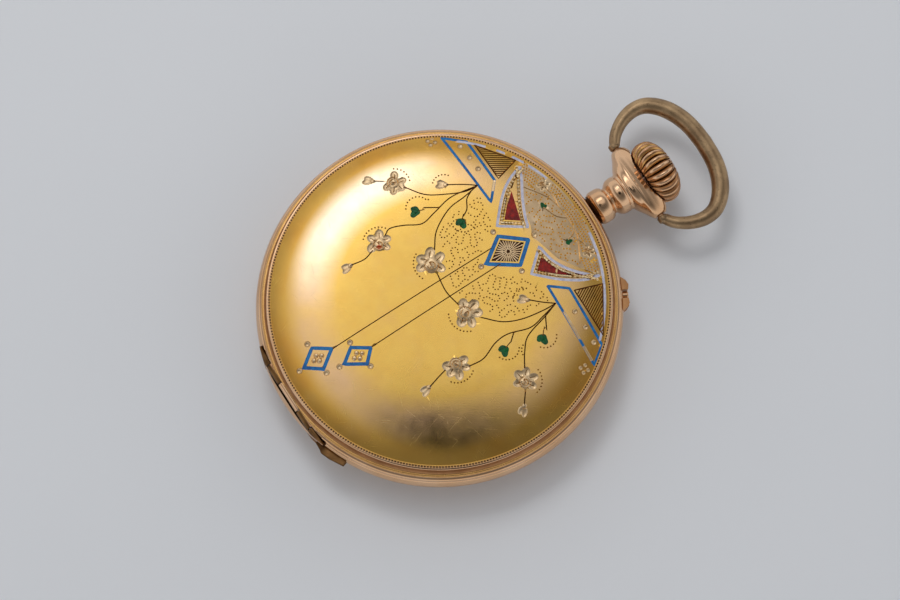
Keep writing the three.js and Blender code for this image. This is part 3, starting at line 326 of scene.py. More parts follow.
def rounded(profile, reach, steps=4, closed=False):
    """A profile with each corner turned into an arc that starts reach away from it."""
    count = len(profile)
    path = []
    for i, point in enumerate(profile):
        if not closed and i in (0, count - 1):
            path.append(point)
            continue
        before, after = Vector(profile[i - 1]), Vector(profile[(i + 1) % count])
        corner = Vector(point)
        back, ahead = before - corner, after - corner
        cutoff = min(reach, back.length * 0.45, ahead.length * 0.45)
        start = corner + back.normalized() * cutoff
        end = corner + ahead.normalized() * cutoff
        for step in range(steps + 1):
            t = step / steps
            path.append(tuple(start * (1 - t) ** 2 + corner * 2 * t * (1 - t) + end * t * t))
    return path


def smooth_path(points, steps):
    """An open Catmull-Rom curve through points."""
    points = [Vector(point) for point in points]
    path = []
    for i, (p1, p2) in enumerate(zip(points, points[1:])):
        p0 = points[i - 1] if i else p1 * 2 - p2
        p3 = points[i + 2] if i + 2 < len(points) else p2 * 2 - p1
        for step in range(steps):
            t = step / steps
            path.append(0.5 * (
                p1 * 2 + (p2 - p0) * t + (p0 * 2 - p1 * 5 + p2 * 4 - p3) * t ** 2
                + (p1 * 3 - p0 - p2 * 3 + p3) * t ** 3
            ))
    return [tuple(point) for point in path] + [tuple(points[-1])]


# ---------- meshes ----------
def settle(piece):
    """Applies a piece's modifiers."""
    bpy.context.view_layer.update()
    graph = bpy.context.evaluated_depsgraph_get()
    piece.data = bpy.data.meshes.new_from_object(piece.evaluated_get(graph))
    piece.modifiers.clear()
    return piece


def mesh_object(name, points, faces, materials, indices=None, smooth=True):
    """A mesh object from points in millimetres."""
    mesh = bpy.data.meshes.new(name)
    mesh.from_pydata([(x * MM, y * MM, z * MM) for x, y, z in points], [], faces)
    for material in materials if isinstance(materials, (list, tuple)) else [materials]:
        mesh.materials.append(material)
    if indices is not None:
        mesh.polygons.foreach_set("material_index", np.array(indices, np.int32))
    mesh.polygons.foreach_set("use_smooth", np.full(len(mesh.polygons), smooth, bool))
    mesh.update()
    piece = bpy.data.objects.new(name, mesh)
    bpy.context.scene.collection.objects.link(piece)
    return piece


def outward(piece):
    """Turns a closed mesh's faces outward."""
    mesh = piece.data
    mesh.calc_loop_triangles()
    volume = sum(
        mesh.vertices[a].co.dot(mesh.vertices[b].co.cross(mesh.vertices[c].co))
        for a, b, c in (triangle.vertices for triangle in mesh.loop_triangles)
    )
    if volume < 0:
        mesh.flip_normals()
    return piece


def flat_faced(piece):
    """Smooth shading that keeps broad faces flat between their rounded edges."""
    piece.modifiers.new("weighted_normals", "WEIGHTED_NORMAL").keep_sharp = True
    return settle(piece)


def creased(piece, angle):
    """Smooth shading everywhere but at edges sharper than an angle in degrees."""
    piece.data.polygons.foreach_set("use_smooth", np.ones(len(piece.data.polygons), bool))
    piece.data.set_sharp_from_angle(angle=math.radians(angle))
    return piece


def edged(piece, width=0.04, segments=2, angle=35):
    """Rounds a piece's edges."""
    bevel = piece.modifiers.new("edges", "BEVEL")
    bevel.width = width * MM
    bevel.segments = segments
    bevel.limit_method = "ANGLE"
    bevel.angle_limit = math.radians(angle)
    bevel.use_clamp_overlap = True
    return flat_faced(piece)


def carved(piece, *cutters, operation="DIFFERENCE", keep=False):
    """Cuts pieces out of a piece, or joins them to it."""
    for cutter in cutters:
        change = piece.modifiers.new("cut", "BOOLEAN")
        change.operation = operation
        change.solver = "EXACT"
        change.material_mode = "TRANSFER"
        change.object = cutter
    settle(piece)
    if not keep:
        for cutter in cutters:
            bpy.data.objects.remove(cutter)
    return piece


def given(piece, body, slot, *replaced):
    """Puts a piece on its body, in the place of CAD nodes, which it hides. The slot is not used."""
    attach(piece, body)
    if replaced:
        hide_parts(*replaced)
    return piece


def lathe(name, profile, materials, segments, centre=CENTRE, closed=False, about="Z", bands=None,
          shape=None):
    """Turns a (radius, height) profile about Z, or about the stem's axis.

    bands gives the material index of each step along the profile, and shape(radius, height, angle) may
    return another (radius, height).
    """
    points, rings = [], []
    for radius, height in profile:
        ring = []
        if radius < 1e-9:
            ring = [len(points)] * segments
            points.append((0, 0, height))
        else:
            for k in range(segments):
                angle = TAU * k / segments
                r, h = shape(radius, height, angle) if shape else (radius, height)
                ring.append(len(points))
                points.append((r * math.cos(angle), r * math.sin(angle), h))
        rings.append(ring)
    pairs = list(zip(rings, rings[1:]))
    if closed:
        pairs.append((rings[-1], rings[0]))
    faces, indices = [], []
    for step, (low, high) in enumerate(pairs):
        for k in range(segments):
            n = (k + 1) % segments
            corners = [low[k], low[n], high[n], high[k]]
            face = [c for i, c in enumerate(corners) if c != corners[i - 1]]
            if len(face) > 2:
                faces.append(face)
                indices.append(bands[step] if bands else 0)
    if about == "Z":
        points = [(x + centre[0], y + centre[1], z) for x, y, z in points]
    else:
        points = [(x, z, STEM_Z + y) for x, y, z in points]
    return outward(mesh_object(name, points, faces, materials, indices))


def block(name, x, y, z, material):
    """A box between pairs of coordinates."""
    corners = [(i, j, k) for k in z for j in y for i in x]
    faces = [(0, 2, 3, 1), (4, 5, 7, 6), (0, 1, 5, 4), (2, 6, 7, 3), (0, 4, 6, 2), (1, 3, 7, 5)]
    return outward(mesh_object(name, corners, faces, material, smooth=False))


def prism(name, outline, z, material):
    """A flat outline made solid between two heights."""
    count = len(outline)
    points = [(x, y, z[0]) for x, y in outline] + [(x, y, z[1]) for x, y in outline]
    faces = [tuple(range(count)), tuple(range(2 * count - 1, count - 1, -1))]
    faces += [(i, (i + 1) % count, count + (i + 1) % count, count + i) for i in range(count)]
    return outward(mesh_object(name, points, faces, material, smooth=False))


def rod_x(name, y, z, radius, x, material, segments=40, edge=0.06):
    """A rod along X with rounded ends."""
    profile = rounded(block_profile(0, radius, *x), edge)
    piece = lathe(name, profile, material, segments)
    piece.data.transform(Matrix.Translation((0, y * MM, z * MM)) @ Matrix.Rotation(math.pi / 2, 4, "Y"))
    return outward(piece)


def swept(name, path, radii, material, sides=28):
    """A round wire of changing radius along a path in the XY plane, at the stem's height."""
    points, faces = [], []
    count = len(path)
    for i, (x, y) in enumerate(path):
        ahead = Vector(path[min(i + 1, count - 1)]) - Vector(path[max(i - 1, 0)])
        across = Vector((-ahead.y, ahead.x)).normalized()
        for k in range(sides):
            angle = TAU * k / sides
            aside = radii[i] * math.cos(angle)
            points.append((x + across.x * aside, y + across.y * aside, STEM_Z + radii[i] * math.sin(angle)))
    for i in range(count - 1):
        for k in range(sides):
            n = (k + 1) % sides
            faces.append((i * sides + k, i * sides + n, (i + 1) * sides + n, (i + 1) * sides + k))
    faces.append(tuple(range(sides)))
    faces.append(tuple((count - 1) * sides + k for k in reversed(range(sides))))
    return outward(mesh_object(name, points, faces, material))


# ---------- the carved top of the back cover ----------
DOME_TOP_Z = 8.14
DOME_REACH = 16.0                # the radius at which both terms of the drop are whole
DOME_SAG, DOME_ROLL = 0.62, 0.72
GRID = 0.55                      # the spacing of the plate's own mesh points


def dome(radius):
    """Height of the cover's plain surface, near flat in the middle and steeper at the edge."""
    q = radius / DOME_REACH
    return DOME_TOP_Z - DOME_SAG * q ** 2 - DOME_ROLL * q ** 6


def dome_normals(points):
    radius = np.hypot(points[:, 0], points[:, 1])
    q = radius / DOME_REACH
    slope = (2 * DOME_SAG * q + 6 * DOME_ROLL * q ** 5) / DOME_REACH
    lean = slope[:, None] * points / np.maximum(radius, 1e-9)[:, None]
    normals = np.column_stack([lean, np.ones(len(points))])
    return normals / np.linalg.norm(normals, axis=1)[:, None]


def path_distance(points, path):
    """Each point's distance from a polyline."""
    best = np.full(len(points), 1e9)
    for a, b in zip(path[:-1], path[1:]):
        along = b - a
        length = max(along @ along, 1e-12)
        t = np.clip(((points - a) @ along) / length, 0, 1)
        best = np.minimum(best, np.linalg.norm(points - a - t[:, None] * along, axis=1))
    return best


def inside(points, polygon):
    """True for each point inside a polygon."""
    x, y = points[:, 0], points[:, 1]
    result = np.zeros(len(points), bool)
    for (x0, y0), (x1, y1) in zip(polygon, np.roll(polygon, -1, axis=0)):
        crosses = (y0 > y) != (y1 > y)
        if y0 != y1:
            result ^= crosses & (x < (x1 - x0) * (y - y0) / (y1 - y0) + x0)
    return result


def left_of(ahead):
    """Unit vectors to the left of a row of directions."""
    ahead = ahead / np.maximum(np.linalg.norm(ahead, axis=1), 1e-9)[:, None]
    return np.stack([-ahead[:, 1], ahead[:, 0]], 1)


def turns_left(loop):
    """1 for a polygon that runs anticlockwise, and -1 for one that runs clockwise."""
    after = np.roll(loop, -1, axis=0)
    return 1 if np.sum(loop[:, 0] * after[:, 1] - after[:, 0] * loop[:, 1]) > 0 else -1


def resampled(path, step):
    """A polyline cut into even steps, with its corners kept."""
    out = [path[0]]
    for a, b in zip(path[:-1], path[1:]):
        pieces = max(1, int(round(np.linalg.norm(b - a) / step)))
        out.extend(a + (b - a) * (i + 1) / pieces for i in range(pieces))
    return np.array(out)


class Engraving:
    """Everything cut into, sunk into or raised from the cover: its heights, materials and mesh lines."""

    WALL = 0.04          # how far in from its edge a sunk area reaches its depth
    RING_SHARE = 0.985   # pits and beads end just inside their rings of mesh points

    def __init__(self, materials):
        self.materials = materials
        self.grooves, self.fields, self.pits, self.petals, self.beads = [], [], [], [], []
        self.points, self.edges = [], []

    def line(self, path, closed=False):
        """Adds mesh edges along a path."""
        start, count = len(self.points), len(path)
        self.points.extend((float(x), float(y)) for x, y in path)
        self.edges.extend((start + i, start + (i + 1) % count) for i in range(count if closed else count - 1))

    def groove(self, path, width, depth, material, flat=False, step=0.22):
        """A cut along a path: V-shaped, or a flat channel for enamel."""
        path, half = resampled(np.array(path, float), step), width / 2
        self.grooves.append((path, half, depth, material, flat))
        left = left_of(np.gradient(path, axis=0))
        for side in (half, -half, half - self.WALL, self.WALL - half) if flat else (half, -half, 0):
            self.line(path + side * left)

    def field(self, outline, depth, material, step=0.3, wall=True):
        """A sunk area with its own material."""
        loop = resampled(np.array([*outline, outline[0]], float), step)[:-1]
        self.fields.append((loop, depth, material))
        self.line(loop, closed=True)
        if wall:
            left = left_of(np.roll(loop, -1, axis=0) - np.roll(loop, 1, axis=0))
            self.line(loop + left * self.WALL * turns_left(loop), closed=True)

    def pit(self, x, y, radius, material, sides=6):
        self.pits.append((x, y, radius, material))
        self.points += [(x, y)] + [polar((x, y), radius, TAU * (k + 0.37) / sides) for k in range(sides)]

    def bead(self, x, y, radius, material):
        """A small dome that stands on whatever is under it."""
        self.beads.append((x, y, radius, material))
        self.points.append((x, y))
        for share in (1.0, 0.62) if radius > 0.2 else (1.0,):
            self.points += [polar((x, y), share * radius, TAU * (k + 0.21) / 8) for k in range(8)]

    def petal(self, x, y, long, wide, angle, height, material):
        """A raised oval, or one scooped out where height is negative."""
        self.petals.append((x, y, long, wide, angle, height, material))
        self.points.append((x, y))
        self.points += [polar((x, y), share * long, angle) for share in (-0.8, -0.4, 0.4, 0.8)]
        for share, sides in ((1.0, 14), (0.84, 14), (0.5, 8)):
            for turn in (TAU * k / sides for k in range(sides)):
                u, v = share * long * math.cos(turn), share * wide * math.sin(turn)
                self.points.append(local_point(x, y, u, v, angle))

    def dimples(self, radius, depth, spots):
        """Round scoops with a bright surface."""
        for x, y in spots:
            self.petal(x, y, radius, radius, 0.0, -depth, PETAL)

    def shape_at(self, points):
        """(height over the plain dome, material index) at each point."""
        height = np.zeros(len(points))
        which = np.zeros(len(points), np.int32)

        def between(low, high):
            return np.flatnonzero(((points > low) & (points < high)).all(1))

        def on_disc(x, y, radius):
            near = between((x - radius, y - radius), (x + radius, y + radius))
            away = np.hypot(points[near, 0] - x, points[near, 1] - y)
            on = away < radius * self.RING_SHARE
            return near[on], away[on]

        for loop, depth, material in self.fields:
            near = between(loop.min(0), loop.max(0))
            near = near[inside(points[near], loop)]
            edge = path_distance(points[near], np.vstack([loop, loop[:1]]))
            height[near] = -depth * np.clip(edge / self.WALL, 0, 1)
            which[near] = self.materials.index(material)
        for x, y, long, wide, angle, rise, material in self.petals:
            reach = max(long, wide)
            near = between((x - reach, y - reach), (x + reach, y + reach))
            dx, dy = points[near, 0] - x, points[near, 1] - y
            u = (dx * math.cos(angle) + dy * math.sin(angle)) / long
            v = (-dx * math.sin(angle) + dy * math.cos(angle)) / wide
            level = 1 - u ** 2 - v ** 2
            on = level > 1e-4
            near, lift = near[on], rise * np.sqrt(level[on])
            height[near] = np.maximum(height[near], 0) + lift if rise > 0 else np.minimum(height[near], lift)
            which[near] = self.materials.index(material)
        for path, half, depth, material, flat in self.grooves:
            near = between(path.min(0) - half, path.max(0) + half)
            away = path_distance(points[near], path)
            on = away < half - 1e-6
            near, away = near[on], away[on]
            share = np.clip((half - away) / self.WALL, 0, 1) if flat else 1 - away / half
            height[near] = np.minimum(height[near], -depth * share)
            which[near] = self.materials.index(material)
        for x, y, radius, material in self.pits:
            near, away = on_disc(x, y, radius)
            height[near] -= radius * 0.7 * (1 - (away / radius) ** 2)
            which[near] = self.materials.index(material)
        for x, y, radius, material in self.beads:
            near, away = on_disc(x, y, radius)
            height[near] = 0.8 * np.sqrt(radius ** 2 - away ** 2)
            which[near] = self.materials.index(material)
        return height, which

    def clear_of(self, x, y, margin):
        """True if a point is at least margin away from the grooves, petals and pits cut so far."""
        spot = np.array([[x, y]])
        for path, half, *_ in self.grooves:
            if (path.min(0) - half - margin < spot).all() and (path.max(0) + half + margin > spot).all():
                if path_distance(spot, path)[0] < half + margin:
                    return False
        for px, py, long, wide, *_ in self.petals:
            if math.hypot(px - x, py - y) < max(long, wide) + margin:
                return False
        return all(math.hypot(px - x, py - y) >= radius + margin * 0.4 for px, py, radius, _ in self.pits)

    def build(self, name, underside):
        """The carved plate as a closed mesh, with exact normals on its plain parts."""
        start, rim = len(self.points), circle(DOME_R, PLATE_SEGMENTS)
        points = self.points + rim
        edges = self.edges + [(start + k, start + (k + 1) % PLATE_SEGMENTS) for k in range(PLATE_SEGMENTS)]
        rows = int(DOME_R / (GRID * 0.866)) + 1
        for j in range(-rows, rows + 1):
            for i in range(-rows - 4, rows + 5):
                x, y = (i + 0.5 * (j % 2)) * GRID, j * GRID * 0.866
                if math.hypot(x, y) < DOME_R - 0.25:
                    points.append((x, y))
        flat, _, faces, *_ = delaunay_2d_cdt([Vector(p) for p in points], edges, [], 0, 1e-5)
        flat = np.array([tuple(p) for p in flat])
        faces = np.array([f for f in faces if len(f) == 3], np.int32)
        faces = faces[(np.hypot(flat[:, 0], flat[:, 1]) < DOME_R + 1e-3)[faces].all(1)]
        a, b, c = (flat[faces[:, k]] for k in range(3))
        area = (b[:, 0] - a[:, 0]) * (c[:, 1] - a[:, 1]) - (b[:, 1] - a[:, 1]) * (c[:, 0] - a[:, 0])
        faces[area < 0] = faces[area < 0][:, ::-1]
        lift, _ = self.shape_at(flat)
        _, which = self.shape_at((a + b + c) / 3)
        carved_faces = np.ptp(lift[faces], axis=1) >= 2e-3
        # the top, and then the wall and the underside, ring by ring
        all_points = [(x, y, z) for (x, y), z in zip(flat, dome(np.hypot(flat[:, 0], flat[:, 1])) + lift)]
        all_faces = [tuple(int(i) for i in face) for face in faces]
        all_normals = list(dome_normals(flat[faces].reshape(-1, 2)))
        indices = list(which)
        above = [int(np.argmin(np.hypot(flat[:, 0] - x, flat[:, 1] - y))) for x, y in rim]
        for radius, height in underside:
            ring = [len(all_points)] * PLATE_SEGMENTS
            if radius < 1e-9:
                all_points.append((0.0, 0.0, height))
            else:
                ring = [len(all_points) + k for k in range(PLATE_SEGMENTS)]
                all_points += [(x, y, height) for x, y in circle(radius, PLATE_SEGMENTS)]
            for k in range(PLATE_SEGMENTS):
                n = (k + 1) % PLATE_SEGMENTS
                face = [above[k], ring[k], ring[n], above[n]]
                if radius < 1e-9:
                    face.remove(ring[n])
                p = [Vector(all_points[i]) for i in face]
                all_normals += [(p[1] - p[0]).cross(p[2] - p[0]).normalized()] * len(face)
                all_faces.append(tuple(face))
                indices.append(0)
            above = ring
        piece = mesh_object(name, all_points, all_faces, self.materials, indices)
        corners = np.flatnonzero(np.repeat(carved_faces, 3))
        all_normals = np.array([tuple(normal) for normal in all_normals])
        all_normals[corners] = carved_normals(piece, carved_faces)[corners]
        piece.data.normals_split_custom_set([tuple(normal) for normal in all_normals])
        return piece


def carved_normals(piece, carved_faces):
    """Corner normals that run smoothly over each cut and break at its edges."""
    mesh = piece.data
    mesh.set_sharp_from_angle(angle=math.radians(34))
    edge_of = np.empty(len(mesh.loops), np.int32)
    mesh.loops.foreach_get("edge_index", edge_of)
    cut = np.zeros(len(mesh.edges), np.int32)
    np.add.at(cut, edge_of[:3 * len(carved_faces)], np.repeat(carved_faces, 3).astype(np.int32))
    sharp = np.zeros(len(mesh.edges), bool)
    attribute = mesh.attributes["sharp_edge"]
    attribute.data.foreach_get("value", sharp)
    attribute.data.foreach_set("value", sharp | (cut == 1))
    mesh.update()
    normals = np.empty(3 * len(mesh.loops), np.float32)
    mesh.corner_normals.foreach_get("vector", normals)
    return normals.reshape(-1, 3)


def flower(art, x, y, radius, turn, heart):
    """Five oval petals fanned out towards turn, and a coiled rose at the foot of the fan."""
    for k in range(5):
        angle = turn + 1.02 * (k - 2) + RNG.uniform(-0.12, 0.12)
        reach = radius * RNG.uniform(0.94, 1.06)
        px, py = polar((x, y), reach * 0.66, angle)
        lean = angle + RNG.uniform(-0.3, 0.3)
        art.petal(px, py, reach * 0.41, reach * RNG.uniform(0.31, 0.37), lean, -0.075, PETAL)
        crease = [polar((px, py), -reach * 0.26, lean), polar((px, py), reach * 0.14, lean)]
        art.groove(crease, 0.07, 0.1, PUNCHED)
    middle = polar((x, y), radius * 0.16, turn + math.pi)
    art.petal(*middle, radius * 0.54, radius * 0.48, turn, 0.07, PETAL)
    for share, start in ((0.44, 0.4), (0.25, 2.2)):
        petal_edge = [polar(middle, radius * share, turn + start + 4.6 * k / 20) for k in range(21)]
        art.groove(petal_edge, 0.09, 0.035, PETAL, step=0.12)
    art.groove([polar(middle, radius * 0.2, turn + 0.6), middle], 0.09, 0.035, PETAL, step=0.12)
    if heart is not None:
        foot = polar(middle, radius * 0.2, turn + math.pi)
        art.petal(*foot, radius * 0.16, radius * 0.24, turn, 0.1, heart)


def bud(art, x, y, angle, size):
    """A bud of two long scoops and a cup on the end of a stem."""
    for turn, share in ((0.38, 1.0), (-0.38, 0.86)):
        px, py = polar((x, y), size * 0.46 * share, angle + turn)
        art.petal(px, py, size * 0.5 * share, size * 0.27, angle + turn * 0.6, -0.09, PETAL)
    art.petal(*polar((x, y), size * 0.05, angle + math.pi), size * 0.24, size * 0.2, angle, 0.05, PETAL)


def leaf(art, x, y, angle, size):
    """Two lobes of green enamel on a short stalk."""
    for turn, share in ((0.42, 1.0), (-0.62, 0.85)):
        way = angle + turn
        px, py = polar((x, y), size * 0.34 * share, way)
        outline = []
        for t in (TAU * k / 16 for k in range(16)):
            across = size * (0.29 + 0.05 * math.sin(3 * t)) * share * math.sin(t)
            outline.append(local_point(px, py, size * 0.44 * share * math.cos(t), across, way))
        art.field(outline, 0.035, GREEN, step=0.2)
        vein = [polar((x, y), size * 0.05, way), polar((x, y), size * 0.7 * share, way)]
        art.groove(vein, 0.07, 0.06, GREEN)
    stalk = [polar((x, y), size * reach, angle + math.pi) for reach in (0.02, 0.45)]
    art.groove(stalk, 0.09, 0.05, ENGRAVED)


def dots_round(art, x, y, radius, start, end):
    """An arc of small round punch marks, 0.31 mm apart."""
    count = max(2, int(radius * abs(end - start) / 0.31))
    for k in range(count + 1):
        px, py = polar((x, y), radius, start + (end - start) * k / count)
        if art.clear_of(px, py, 0.05):
            art.pit(px, py, 0.09, PUNCHED)


def hatched(art, outline, direction):
    """Straight cuts side by side that fill an outline."""
    spacing = 0.21
    polygon = np.array(outline)
    across = np.array([-math.sin(direction), math.cos(direction)])
    along = np.array([math.cos(direction), math.sin(direction)])
    reach = polygon @ across
    level = reach.min() + spacing / 2
    while level < reach.max():
        line = level * across + np.linspace(-20, 20, 801)[:, None] * along
        on = line[inside(line, polygon)]
        if len(on) > 8:
            art.groove([on[2], on[-3]], 0.12, 0.07, PUNCHED, step=0.5)
        level += spacing


def blue_frame(art, corners, width):
    """A closed line of enamel through corners, which ends just past its start."""
    past = tuple(np.array(corners[0]) * 0.97 + np.array(corners[1]) * 0.03)
    art.groove([*corners, corners[0], past], width, 0.035, BLUE, flat=True)


def moved_in(polygon, distance):
    """A polygon with its sides moved inwards."""
    polygon = np.array(polygon, float)
    inward = turns_left(polygon) * left_of(polygon - np.roll(polygon, 1, axis=0))
    moved = []
    for i, here in enumerate(polygon):
        first_in, second_in = inward[i], inward[(i + 1) % len(polygon)]
        bisector = first_in + second_in
        bisector /= np.linalg.norm(bisector)
        moved.append(here + bisector * distance / max(bisector @ first_in, 0.35))
    return [tuple(p) for p in moved]


DIAMOND = [(-0.1, 10.0), (1.6, 8.0), (-0.2, 5.35), (-1.9, 7.75)]
SMALL_DIAMONDS = [
    [(0.75, -8.1), (1.85, -9.2), (0.7, -11.0), (-0.3, -9.65)],
    [(-1.2, -11.2), (0.0, -12.85), (-1.15, -14.3), (-2.3, -12.7)],
]
LEFT_PANEL = [(-13.2, 8.7), (-11.6, 10.5), (-6.8, 10.55), (-5.1, 9.05)]
RIGHT_PANEL = [(4.65, 9.07), (5.9, 10.7), (12.0, 10.4), (13.2, 8.73)]
LEFT_WING = (
    [(-7.0, 13.7), (-6.25, 11.75), (-5.1, 10.15), (-2.78, 8.02)], [(-2.78, 8.02), (-0.95, 10.75)],
    [(-0.95, 10.75), (-2.3, 11.2), (-3.9, 11.98), (-5.45, 12.9), (-7.0, 13.7)],
)
RIGHT_WING = (
    [(6.45, 14.2), (6.04, 12.33), (4.78, 10.3), (2.86, 8.2)], [(2.86, 8.2), (0.72, 10.6)],
    [(0.72, 10.6), (2.82, 11.0), (4.7, 12.2), (6.45, 14.2)],
)
LEFT_JEWEL = [(-5.0, 11.3), (-4.05, 10.15), (-2.95, 9.15), (-2.05, 10.42), (-3.5, 10.85)]
RIGHT_JEWEL = [(5.85, 13.1), (5.0, 11.35), (4.05, 10.2), (2.86, 9.0), (2.15, 9.45), (1.85, 10.05),
               (3.1, 10.5), (4.5, 11.5)]


def wing(art, sides):
    """A pale curved triangle: an enamel line round the outside, and beads along its inner edge."""
    outer = []
    for side in sides:
        straight = [side[0], tuple((np.array(side[0]) + side[1]) / 2)]
        outer += straight if len(side) == 2 else smooth_path(side, 5)[:-1]
    band = moved_in(outer, 0.14)
    art.groove(band + [band[0]], 0.27, 0.035, LILAC, flat=True)
    inner = moved_in(outer, 0.48)
    loop = resampled(np.array(inner + [inner[0]]), 0.31)
    # painted shade: a darker channel under the beads shows between them
    art.groove(loop, 0.26, 0.035, PUNCHED, flat=True)
    for x, y in loop[:-1]:
        art.bead(x, y, 0.145, BEAD)


def worm_ground(art, region, walks, size, material):
    """Fills a region with wandering rows of punch marks that keep clear of one another."""
    low, high = region.min(0), region.max(0)
    placed = {}          # the marks so far, by the half-millimetre square that they are in

    def square(x, y):
        return int(x // 0.5), int(y // 0.5)

    def taken(x, y):
        i, j = square(x, y)
        around = (p for di in (-1, 0, 1) for dj in (-1, 0, 1) for p in placed.get((i + di, j + dj), ()))
        return any(math.hypot(px - x, py - y) < 0.36 for px, py in around)

    def crosses(x, y, trail):
        return any(math.hypot(px - x, py - y) < 0.34 for px, py in trail[:-2])

    for _ in range(walks):
        x, y = RNG.uniform(low[0], high[0]), RNG.uniform(low[1], high[1])
        heading, bend = RNG.uniform(0, TAU), RNG.uniform(0, TAU)
        trail = []
        for _ in range(22):
            outside = not inside(np.array([[x, y]]), region)[0]
            if taken(x, y) or crosses(x, y, trail) or outside or not art.clear_of(x, y, 0.12):
                break
            trail.append((x, y))
            bend += RNG.uniform(0.4, 0.7)
            heading += 0.95 * math.sin(bend)
            x, y = x + 0.285 * math.cos(heading), y + 0.285 * math.sin(heading)
        if len(trail) > 1:
            for spot in trail:
                placed.setdefault(square(*spot), []).append(spot)
    for x, y in (spot for spots in placed.values() for spot in spots):
        art.pit(x, y, size, material, sides=5)


def engrave_cover():
    """The whole decoration, laid out with the pendant at the top."""
    art = Engraving([SATIN, MATTE, BRIGHT, PETAL, SPARK, BEAD, ENGRAVED, PUNCHED, SUNBURST, BLUE, LILAC, RED,
                     GREEN, CORAL])

    def on_arc(radius, start, end, count):
        return [polar(CENTRE, radius, math.radians(angle)) for angle in np.linspace(start, end, count)]

    # matt segment next to the pendant
    arc = on_arc(15.72, 65, 117, 26)
    lower_edge = [(-4.9, 12.35), (-3.2, 11.35), (-1.15, 10.95), (-0.1, 10.45), (0.6, 10.75), (2.9, 11.35),
                  (4.6, 12.55)]
    art.field(arc + lower_edge, 0.02, MATTE, step=0.5, wall=False)

    # enamelled frames
    for panel in (LEFT_PANEL, RIGHT_PANEL):
        blue_frame(art, panel, 0.26)
    for worn_out in (((-6.75, 10.48), (-6.05, 9.86)), ((7.6, 9.02), (10.4, 8.87)),
                     ((11.3, 8.83), (12.7, 8.76))):
        art.groove(worn_out, 0.24, 0.04, PETAL, flat=True, step=0.3)
    for corners in (LEFT_WING, RIGHT_WING):
        wing(art, corners)
    for jewel in (LEFT_JEWEL, RIGHT_JEWEL):
        art.field(jewel, 0.04, RED, step=0.25)
    art.groove([(-5.3, 11.5), (-6.5, 12.9)], 0.12, 0.06, ENGRAVED)
    art.groove([(3.4, 11.0), (3.95, 10.5)], 0.16, 0.03, BRIGHT)
    for start, end in ((42.5, 81.5), (107, 114), (117, 121), (124, 127), (131, 141)):
        art.groove(on_arc(15.55, start, end, 24), 0.24, 0.03, LILAC, flat=True, step=0.5)

    # central diamond: a blue line, and a dark sunburst inside it
    inner = moved_in(DIAMOND, 0.32)
    art.field(inner, 0.05, SUNBURST)
    middle = tuple(np.array(DIAMOND).mean(axis=0))
    polygon = np.array(inner)
    for k in range(28):
        angle = TAU * (k + 0.5) / 28
        ray = np.array([polar(middle, r, angle) for r in np.linspace(0.2 + 0.3 * (k % 2), 3, 90)])
        on = ray[inside(ray, polygon)]
        if len(on) > 6:
            art.groove([on[0], on[-2]], 0.085, 0.02, PETAL, step=0.3)
    blue_frame(art, DIAMOND, 0.38)
    art.dimples(0.29, 0.17, ((-2.5, 7.6), (2.15, 7.8), (-0.2, 10.75), (-0.25, 4.8)))

    # the two long lines, and the diamonds at their ends
    art.groove([(-1.25, 6.6), (-1.15, -11.15)], 0.1, 0.07, ENGRAVED, step=0.6)
    art.groove([(0.5, 6.5), (0.72, -8.0)], 0.1, 0.07, ENGRAVED, step=0.6)
    for diamond in SMALL_DIAMONDS:
        blue_frame(art, diamond, 0.34)
        cx, cy = np.array(diamond).mean(axis=0)
        for dx, dy in ((0, 0.425), (0.306, 0), (0, -0.425), (-0.306, 0)):
            art.bead(cx + dx, cy + dy, 0.26, PETAL)
    art.dimples(0.29, 0.17, ((-0.75, -9.45), (2.2, -9.05), (0.65, -11.5), (-2.85, -12.85), (0.45, -12.8),
                             (-1.15, -14.8)))
    for spot in ((-13.4, 7.65), (13.05, 7.7)):
        art.dimples(0.21, 0.13, [polar(spot, 0.36, TAU * (k + 0.5) / 4) for k in range(4)])

    # panels: scoops between the blue lines, cut hatching above them
    art.dimples(0.27, 0.15, ((-11.5, 9.7), (-10.0, 9.8), (-8.6, 9.85), (8.05, 9.9), (9.8, 9.95),
                             (11.4, 9.85)))
    hatches = (([(-10.9, 10.95), (-6.75, 10.95), (-7.5, 13.4)], 1.05),
               ([(6.3, 11.0), (11.3, 11.0), (7.1, 13.7)], 2.1))
    for outline, direction in hatches:
        hatched(art, outline, direction)
    for outline, _ in hatches:
        art.groove([*outline, outline[0]], 0.13, 0.06, ENGRAVED, step=0.5)

    # flowers, buds and leaves
    for x, y, radius, turn, heart in (
        (-11.65, 2.35, 1.12, 0.4, None), (-7.4, -2.0, 1.2, 2.6, CORAL), (-3.05, 1.05, 1.45, 2.6, None),
        (2.85, 1.25, 1.45, 1.0, None), (6.55, -2.3, 1.25, -0.2, None), (11.1, 2.4, 1.15, 2.4, None),
        (-4.0, 14.25, 0.62, 0.2, None), (3.75, 14.25, 0.62, 0.7, None),
    ):
        flower(art, x, y, radius, turn, heart)
    for x, y, angle in ((-8.9, 6.35, -2.2), (-13.0, 0.75, -2.3), (-7.0, -5.5, -1.6), (4.75, 6.7, -2.3),
                        (6.85, -5.6, -1.4), (13.1, 0.95, -0.9)):
        bud(art, x, y, angle, 1.05)
    for x, y, angle, size in (
        (-8.05, 2.8, -1.9, 1.2), (-5.1, 5.8, -0.8, 1.2), (7.55, 2.55, -1.2, 1.2), (8.4, 6.1, -0.7, 1.2),
        (-2.05, 12.95, 2.4, 0.72), (1.85, 13.05, 0.6, 0.72),
    ):
        leaf(art, x, y, angle, size)

